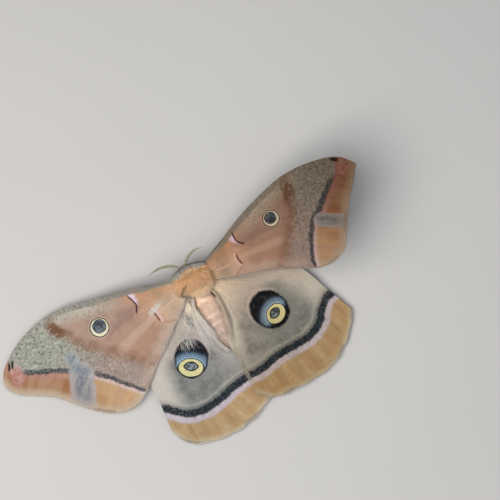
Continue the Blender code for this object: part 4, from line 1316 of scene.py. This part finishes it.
def collarLayer(skinPiece, layer):  # hair from the thorax's front edge, hanging over the head
    roots, normals, random = scatter(skinPiece, layer, collarChance)
    x = roots[:, 0]
    tips = np.zeros_like(roots)
    tips[:, 0] = x * (collar["spread"][0] + collar["spread"][1] * np.abs(x)) + random.normal(0, 0.2, len(x))
    bend = collar["edgeBend"] * (tips[:, 0] - collar["edgeMiddle"]) ** 2
    tips[:, 1] = layer["edge"] + bend + random.exponential(0.35, len(x))
    outside = smoothStep((np.abs(tips[:, 0]) - 2.6) / 1.4)
    tips[:, 2] = layer["tipHeight"] + (collar["overWings"] - layer["tipHeight"]) * outside
    tips[:, 2] += random.uniform(-0.25, 0.35, len(x))
    t = tuftShares[None, :, None]
    centres = roots[:, None] * (1 - t) + tips[:, None] * t - normals[:, None] * rootSink * (1 - t)
    arches = layer["arch"] * np.sin(math.pi * t[..., 0] ** 0.8)
    centres[..., 2] += arches * random.uniform(0.6, 1.2, (len(x), 1))
    colours = np.array(layer["colour"]) * random.uniform(0.82, 1.12, (len(x), 1))
    colours[random.random(len(x)) < collar["darkShare"]] = collar["dark"]
    return {
        "centres": centres, "normals": unit(normals + (0, 0, 1.0)),
        "widths": random.uniform(*collar["width"], len(x)), "shades": random.random(len(x)),
        "colours": colours, "maps": roundMap(roots, body["thoraxCentre"], *body["thoraxMap"]),
    }


def joined(groups):
    return {key: np.concatenate([group[key] for group in groups]) for key in groups[0]}


def thoraxChance(points):
    inHead, inAbdomen, inLegs = skinParts(points)
    elsewhere = (1 - inHead) * (1 - inAbdomen) * (1 - inLegs)
    return elsewhere * (0.25 + 0.75 * smoothStep((points[:, 2] - 4.5) / 2))


def abdomenChance(points):
    return skinParts(points)[1]


def headChance(points):
    palps = (points[:, 1] < -6.6) & (points[:, 2] < 5.2)
    chance = np.maximum(skinParts(points)[0], palps)
    for centre in eyeFromBody.values():
        chance = chance * (1 - near(points, np.array(centre), 1.15, 0.1))
    return chance


def legChance(points):
    return skinParts(points)[2]


def bendTips(tufts, axis, reach, power):  # moves tufts along an axis, most at their tips
    tufts["centres"][:, :, axis] += reach[:, None] * tuftShares ** power


def thoraxCoat(skinPiece):
    roots, normals, random = scatter(skinPiece, coats["thorax"], thoraxChance)
    y, z = roots[:, 1], roots[:, 2]
    across = (roots - body["thoraxCentre"]) / body["thoraxHalf"]
    forward = smoothStep((-4.0 - y) / 0.5) * (z > 5.5)  # hangs over the head
    backward = np.column_stack([0.9 * across[:, 0], np.full(len(roots), 1.0), 0.25 * across[:, 2] - 0.25])
    ahead = np.column_stack([0.55 * across[:, 0], np.full(len(roots), -1.0), np.full(len(roots), -0.3)])
    rubbed = nearLine(roots * (1, 1, 0), (4.0, 0.6, 0), (2.0, 4.4, 0), 1.0, 0.8) * (z > 8)
    scale = (1 - 0.55 * rubbed) * (1 - 0.1 * forward)
    maps = roundMap(roots, body["thoraxCentre"], *body["thoraxMap"])
    tufts = coatTufts("thorax", roots, normals, mixed(backward, ahead, forward), maps, random, scale)

    # The sides spread over the wings, the front droops, and the rear stands off the slope, with painted light
    # on its tufts
    overWing = smoothStep((np.abs(across[:, 0]) - 0.38) / 0.3) * (z > 9.2) * smoothStep((2.6 - y) / 1.5)
    rear = smoothStep((y - 0.5) / 2.5) * (z > 8.0)
    facts = coats["thorax"]
    bendTips(tufts, 0, facts["overWing"] * np.sign(across[:, 0]) * overWing, 1.3)
    bendTips(tufts, 1, facts["ahead"] * forward, 1.5)
    bendTips(tufts, 2, facts["aheadRise"] * forward, 1.5)
    bendTips(tufts, 2, facts["rearRise"] * rear, 1.2)
    # painted light: the rear tufts' shade value is raised, so they come out lighter
    tufts["shades"] = tufts["shades"] + 0.5 * rear
    lowest = np.where(np.abs(tufts["centres"][:, :, 0]) > 3.6, held["foreRoot"] + 0.15, 0)
    lowest = lowest * (overWing > 0.01)[:, None]
    tufts["centres"][:, :, 2] = np.maximum(tufts["centres"][:, :, 2], lowest)
    return tufts


def abdomenCoat(skinPiece):
    roots, normals, random = scatter(skinPiece, coats["abdomen"], abdomenChance)
    lies = np.tile((0.03, 1.0, -0.05), (len(roots), 1))
    maps = roundMap(roots, (0.8, 0, 6.0), *body["abdomenMap"])
    tail = 1 - 0.35 * smoothStep((roots[:, 1] - 20) / 6)
    return coatTufts("abdomen", roots, normals, lies, maps, random, tail)


def headCoat(skinPiece):
    roots, normals, random = scatter(skinPiece, coats["head"], headChance)
    x, y, _ = (roots - body["headCentre"]).T
    lies = np.column_stack([x * 0.2, np.full(len(roots), -0.5), np.full(len(roots), -0.9)])
    face = 1 - 0.5 * smoothStep((-y - 0.9) / 0.6)
    maps = roundMap(roots, body["headCentre"], *body["headMap"])
    return coatTufts("head", roots, normals, lies, maps, random, face)


def legCoat(skinPiece):  # follows each leg from root to toe, shorter towards the toe
    roots, normals, random = scatter(skinPiece, coats["legs"], legChance)
    lies, maps, shrink = np.zeros((len(roots), 3)), np.zeros((len(roots), 2)), np.ones(len(roots))
    found = np.full(len(roots), 1e9)
    for strip, (path, side) in enumerate(allLegPaths()):
        for index, (first, second) in enumerate(zip(path[:-1], path[1:])):
            t, offset = fromStep(roots, first, second)
            away = np.linalg.norm(offset, axis=1)
            here = away < found
            found[here], lies[here] = away[here], second - first
            turn = np.arctan2(offset[:, 0] * side, offset[:, 2]) / (2 * math.pi) + 0.5
            place = np.column_stack([(strip + 0.06 + 0.88 * turn) / 6, 0.02 + 0.96 * (index + t) / 5])
            maps[here] = place[here]
            shrink[here] = coats["legs"]["lengthByPart"][index]
    return coatTufts("legs", roots, normals, lies, maps, random, shrink)


def makeCoats(skinPiece, material):
    layers = [collarLayer(skinPiece, layer) for layer in collar["layers"]]
    growTufts("coat_thorax", thoraxCoat(skinPiece), material)
    growTufts("coat_collar", joined(layers), material)
    growTufts("coat_abdomen", abdomenCoat(skinPiece), material)
    growTufts("coat_head", headCoat(skinPiece), material)
    growTufts("coat_legs", legCoat(skinPiece), material)


# Hair on the wings: springs from the body and the bases, lies along the membrane, fringes its edges

wingHairs = {
    "curl": 0.12,
    "forewing": {"base": 1900, "baseReach": 0.17, "baseLength": (2.0, 3.8), "margin": 3200, "inner": 1300},
    "hindwing": {"base": 2500, "baseReach": 0.34, "baseLength": (2.6, 5.0), "margin": 3000, "inner": 1500},
    "marginLength": (0.45, 1.0),
    "width": {"base": 0.036, "margin": 0.035, "inner": 0.04, "fan": 0.04, "tail": 0.05},
    "fan": {
        "count": 1500, "from": (5.6, 3.2), "angles": (-8, 34), "start": (0.0, 14.0), "length": (4.0, 8.5),
    },
    "tail": {
        "count": 420, "x": (-1.2, 0.8), "y": (21.0, 25.5), "length": (2.6, 4.2),
        "way": (-0.32, 1.0), "colour": (0.74, 0.64, 0.52),
    },
    "slate": {
        "count": 90, "centre": (8.9, 9.2), "spread": (0.75, 1.9), "length": (1.2, 3.2),
        "way": (0.1, 1.0), "colour": (0.15, 0.18, 0.23),
    },
    "veil": {
        "count": 75, "centre": (13.2, 15.3), "spread": (1.9, 1.0), "length": (2.4, 4.8),
        "way": (0.3, 1.0), "colour": (0.95, 0.93, 0.88),
    },
}


def hairGroup(random, wing, starts, ways, lengths, width, colours, lift=0.09):
    count = len(starts)
    t = tuftShares[None, :, None]
    ways = unit(ways)
    aside = np.column_stack([-ways[:, 1], ways[:, 0]]) * random.normal(0, wingHairs["curl"], (count, 1))
    flat = starts[:, None] + lengths[:, None, None] * (t * ways[:, None] + t ** 2 * aside[:, None])
    top = wing["height"](flat[..., 0].ravel(), flat[..., 1].ravel()).reshape(count, tuftLevels)
    arch = lift * random.uniform(0.4, 1.4, (count, 1)) * np.sin(math.pi * (0.08 + 0.8 * t[..., 0]))
    top = top + membrane["thickness"] / 2 + arch - 0.05
    centres = np.concatenate([flat * (wing["side"], 1), top[..., None]], axis=2)
    colours = colours * random.uniform(0.88, 1.1, (count, 1))
    return {"centres": centres, "widths": width * random.uniform(0.8, 1.2, count), "colours": colours}


def clearOfOcellus(wing, group):  # leaves out the hairs that would cover an ocellus
    if wing["kind"] == "fore":
        return group
    along, across = fromOcellus(wing, group["centres"][:, :, :2] * (wing["side"], 1))
    half = wing["ovalHalf"]
    kept = (np.hypot(along / half[0], across / half[1]) > 1.0).all(axis=1)
    return {key: values[kept] for key, values in group.items()}


def alongWing(plan, u, w):
    return plan(np.minimum(u + 0.02, 1.0), w) - plan(np.minimum(u, 0.98), w)


def baseHairs(random, name, wing, plan):
    kind = name.split("_")[0]
    facts = wingHairs[kind]
    u = facts["baseReach"] * random.random(facts["base"]) ** 0.8
    w = random.uniform(0.0, 1.0, facts["base"])
    if kind == "forewing":
        colours = mixed((0.90, 0.56, 0.32), (0.96, 0.72, 0.52), smoothStep((w - 0.2) / 0.5))
        colours = mixed(colours, (0.36, 0.34, 0.30), smoothStep((0.12 - w) / 0.04))
        # painted shade: the right forewing's base hairs darker too
        colours = colours * wing["tonesWithPaintedShade"][0] * (1.0 if wing["side"] > 0 else 0.85) / 0.84
        colours = colours * (1 - 0.3 * smoothStep((u - 0.04) / 0.1))[:, None]
    else:
        cream = (0.98, 0.80, 0.58) if wing["side"] < 0 else (0.90, 0.78, 0.66)
        outer = (0.66, 0.58, 0.48) if wing["side"] < 0 else (0.62, 0.58, 0.52)
        colours = mixed(cream, outer, smoothStep(u / 0.3))
    lengths = random.uniform(*facts["baseLength"], len(u))
    width = wingHairs["width"]["base"]
    hairs = hairGroup(random, wing, plan(u, w), alongWing(plan, u, w), lengths, width, colours)
    return clearOfOcellus(wing, hairs)


def edgeHairs(random, name, wing, plan):
    facts, widths = wingHairs[name.split("_")[0]], wingHairs["width"]
    w = random.uniform(0.01, 0.99, facts["margin"])
    u = random.uniform(0.982, 0.997, len(w))
    starts, outward = wingFlat(wing, plan, u, w)
    lengths = random.uniform(*wingHairs["marginLength"], len(w))
    colours = mixed(*wing["tonesWithPaintedShade"][1:], smoothStep(w)) * (0.62, 0.51, 0.37)
    margin = hairGroup(random, wing, starts, outward, lengths, widths["margin"], colours, lift=0.02)

    u = random.uniform(0.1, 0.97, facts["inner"])
    w = random.uniform(0.965, 0.998, len(u))
    across = unit(plan(u, np.ones_like(u)) - plan(u, np.full_like(u, 0.97)))
    ways = unit(alongWing(plan, u, w)) + across * random.uniform(0.2, 0.9, (len(u), 1))
    long = (1.4, 3.2) if wing["kind"] == "hind" else (0.9, 2.0)
    pale = np.array((0.78, 0.68, 0.56)) * wing["tonesWithPaintedShade"][2]
    nearBase = (0.92, 0.76, 0.58) if name == "hindwing_right" else pale
    colours = mixed(pale, nearBase, smoothStep((0.55 - u) / 0.3))
    lengths = random.uniform(*long, len(u)) * (1 - 0.6 * smoothStep((u - 0.55) / 0.2))
    inner = hairGroup(random, wing, plan(u, w), ways, lengths, widths["inner"], colours, lift=0.12)
    return [margin, inner]


def fanHairs(random, wing):  # only on the left hindwing: spread over the abdomen's side and the ocellus
    facts, width = wingHairs["fan"], wingHairs["width"]["fan"]
    angles = np.radians(random.uniform(*facts["angles"], facts["count"]))
    start = random.uniform(*facts["start"], len(angles))
    start = start * (1 - 0.35 * smoothStep((np.degrees(angles) - 10) / 30))
    ways = np.column_stack([np.sin(angles), np.cos(angles)])
    starts = np.array(facts["from"]) + ways * start[:, None] + random.normal(0, 0.25, (len(angles), 2))
    pale = mixed((0.98, 0.84, 0.62), (0.74, 0.67, 0.66), smoothStep((start - 2) / 6))
    pale[::4] = (0.98, 0.93, 0.84)
    ways = ways + random.normal(0, 0.07, ways.shape)
    lengths = random.uniform(*facts["length"], len(angles))
    fan = hairGroup(random, wing, starts, ways, lengths, width, pale)
    groups = [clearOfOcellus(wing, fan)]
    for facts in (wingHairs["slate"], wingHairs["veil"]):
        starts = np.array(facts["centre"]) + random.normal(0, 1, (facts["count"], 2)) * facts["spread"]
        ways = np.array(facts["way"]) + random.normal(0, 0.2, starts.shape)
        lengths = random.uniform(*facts["length"], len(starts))
        colours = np.tile(facts["colour"], (len(starts), 1))
        colours[::3] = (0.92, 0.91, 0.90)
        groups.append(hairGroup(random, wing, starts, ways, lengths, width, colours, lift=0.35))
    return groups


def tailHairs(random, wing):  # from the right hindwing over the tip of the abdomen
    facts = wingHairs["tail"]
    x, y = [random.uniform(*facts[axis], facts["count"]) for axis in "xy"]
    starts = np.column_stack([-x, y])
    ways = np.array(facts["way"]) + random.normal(0, 0.1, starts.shape)
    lengths = random.uniform(*facts["length"], len(starts))
    colours = np.array(facts["colour"])
    return [hairGroup(random, wing, starts, ways, lengths, wingHairs["width"]["tail"], colours)]


def growWingHairs(material):
    for index, (name, wing) in enumerate(wings.items()):
        random = np.random.default_rng(31 + index)
        plan = wingPlan(wing)
        groups = [baseHairs(random, name, wing, plan), *edgeHairs(random, name, wing, plan)]
        if name == "hindwing_left":
            groups += fanHairs(random, wing)
        if name == "hindwing_right":
            groups += tailHairs(random, wing)
        tufts = joined(groups)
        count = len(tufts["centres"])
        tufts["normals"] = np.tile((0.0, 0.0, 1.0), (count, 1))
        tufts["shades"] = random.random(count)
        roots = tufts["centres"][:, 0]
        tufts["maps"] = np.column_stack([(np.abs(roots[:, 0]) + 6) / 86, (roots[:, 1] + 20) / 76])
        growTufts(f"hair_{name}", tufts, material)


skinPiece = makeSkin(paintSkin())
skinPoints = readArray(skinPiece.data.vertices, "co", 3).astype(float)
setAttribute(skinPiece, "coat", coatColour(fromScene(skinPoints)))
print("skin ready")
coatMaterial = paintCoat("wool")
makeCoats(skinPiece, coatMaterial)
growWingHairs(paintCoat("wingHair", 0.7, 0.2))
print("coat ready")


# Eyes, feelers and claws

eyes = {"radius": 1.0, "facets": 9.0}
feelers = {
    "left": (
        (1.6, -6.2, 6.9), (1.95, -6.8, 7.65), (2.6, -7.8, 8.9), (4.4, -9.3, 9.6), (8.1, -10.6, 9.8),
        (12.9, -10.5, 9.0),
    ),
    "right": (
        (0.2, -6.2, 6.9), (-0.15, -6.8, 7.65), (-1.3, -7.9, 9.5), (-3.4, -9.0, 12.1), (-5.6, -9.5, 14.0),
        (-8.7, -9.0, 15.8),
    ),
    "shaft": (0.21, 0.07),
    "joints": 58,
    "branch": 0.85,
    "branchWidth": 0.07,
    "branchReach": (0.16, 0.99),  # share of the shaft that has branches
}
claws = {  # along the toe and aside: where the first place lies, and each step
    "along": (0.25, 0.22),
    "aside": (0.1, 0.09),
    "heights": (0.0, 0.1, 0.06, -0.1),
    "radii": (0.1, 0.1, 0.07, 0.03),
}


def makeEyes():
    paint = Paint("eyeShine", 0.16, gloss=0.6)
    cells = paint.add("ShaderNodeTexVoronoi", "Distance", {"Vector": paint.place, "Scale": eyes["facets"]})
    paint.colour = paint.clouds((0.035, 0.018, 0.01), (0.11, 0.06, 0.035), 1.2, 0.4, 0.65)
    paint.over((0.01, 0.006, 0.004), paint.rise(cells, 0.35, 0.6))
    material = paint.finish(paint.rise(cells, 0.55, 0.0), 0.02, 0.6)
    paint.shader.inputs["Coat Weight"].default_value = 0.6
    for side, centre in eyeFromBody.items():
        shape = bmesh.new()
        made = bmesh.ops.create_icosphere(shape, subdivisions=4, radius=eyes["radius"])["verts"]
        for vert in made:
            vert.co = toScene(np.array(vert.co) + centre)
        piece = finishMesh(f"eye_{side}_ball", shape, (material,))
        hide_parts(f"eye_{side}")


def makeFeelers():
    paint = Paint("feelerShaft", 0.6, sheen=0.1)
    paint.colour = paint.clouds((0.36, 0.33, 0.22), (0.22, 0.20, 0.13), 1.5, 0.4, 0.6)
    shaftMaterial = paint.finish(paint.noise(5.0), 0.03)
    branchMaterial = paintCoat("feelerBranches", 0.65, 0.15)
    for side, _ in sides:
        path = curveThrough(feelers[side])
        share = np.linspace(0, 1, feelers["joints"] * 2 + 1)
        centres = path(share)
        rings = 1 + 0.12 * np.cos(share * 2 * math.pi * feelers["joints"])
        radius = np.interp(share, (0, 1), feelers["shaft"]) * rings
        radius[[0, -1]] = 0
        shape = bmesh.new()
        addTube(shape, centres, radius, radius, 10, (0.1, 0.3, 1.0))
        faceOutwards(shape)
        piece = finishMesh(f"feeler_{side}", shape, (shaftMaterial,))
        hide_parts(f"antenna_{side}")

        start = np.linspace(*feelers["branchReach"], feelers["joints"] * 2)  # two pairs a joint
        random = np.random.default_rng(21)
        t = np.tile(start, 2)
        hand = np.repeat((1, -1), len(start))
        along = unit(path(np.minimum(t + 0.01, 1)) - path(t - 0.01))
        upper = np.tile((0.0, 0.25, 1.0), (len(t), 1))
        across = unit(np.cross(along, upper)) * hand[:, None]
        swell = np.sin(math.pi * np.clip(0.12 + 0.95 * t, 0, 1)) ** 0.6
        count = len(t)
        roots = path(t)
        normals = unit(np.cross(across, along) * hand[:, None])
        lies = unit(across + along * 0.75 + random.normal(0, 0.05, (count, 3)))
        lengths = feelers["branch"] * swell * random.uniform(0.85, 1.1, count)
        growTufts(f"feeler_{side}_branches", {
            "centres": bentLines(roots, unit(lies - normals * 0.25), unit(lies + normals * 0.1), lengths),
            "normals": normals, "widths": np.full(count, feelers["branchWidth"]),
            "shades": random.random(count), "colours": np.tile((0.40, 0.37, 0.26), (count, 1)),
            "maps": np.column_stack([0.25 + 0.5 * (hand > 0), 0.02 + 0.95 * t]),
        }, branchMaterial)


def makeClaws():
    paint = Paint("clawHorn", 0.3, gloss=0.5)
    paint.colour = paint.clouds((0.035, 0.02, 0.012), (0.10, 0.055, 0.03), 3.0, 0.4, 0.65)
    material = paint.finish(paint.noise(8.0), 0.02)
    shape = bmesh.new()
    for path, _ in allLegPaths():
        toe, along = path[-1], unit(path[-1] - path[-2])
        across = unit(np.cross(along, (0, 0, 1)))
        for hand in (1, -1):
            steps = []
            for step, height in enumerate(claws["heights"]):
                ahead = along * (claws["along"][0] + claws["along"][1] * step)
                aside = hand * across * (claws["aside"][0] + claws["aside"][1] * step)
                steps.append(toe + ahead + aside + (0, 0, height))
            addLimb(shape, steps, claws["radii"], 8, 12)
    faceOutwards(shape)
    piece = finishMesh("claws", shape, (material,))


makeEyes()
makeFeelers()
makeClaws()
print("eyes, feelers and claws ready")
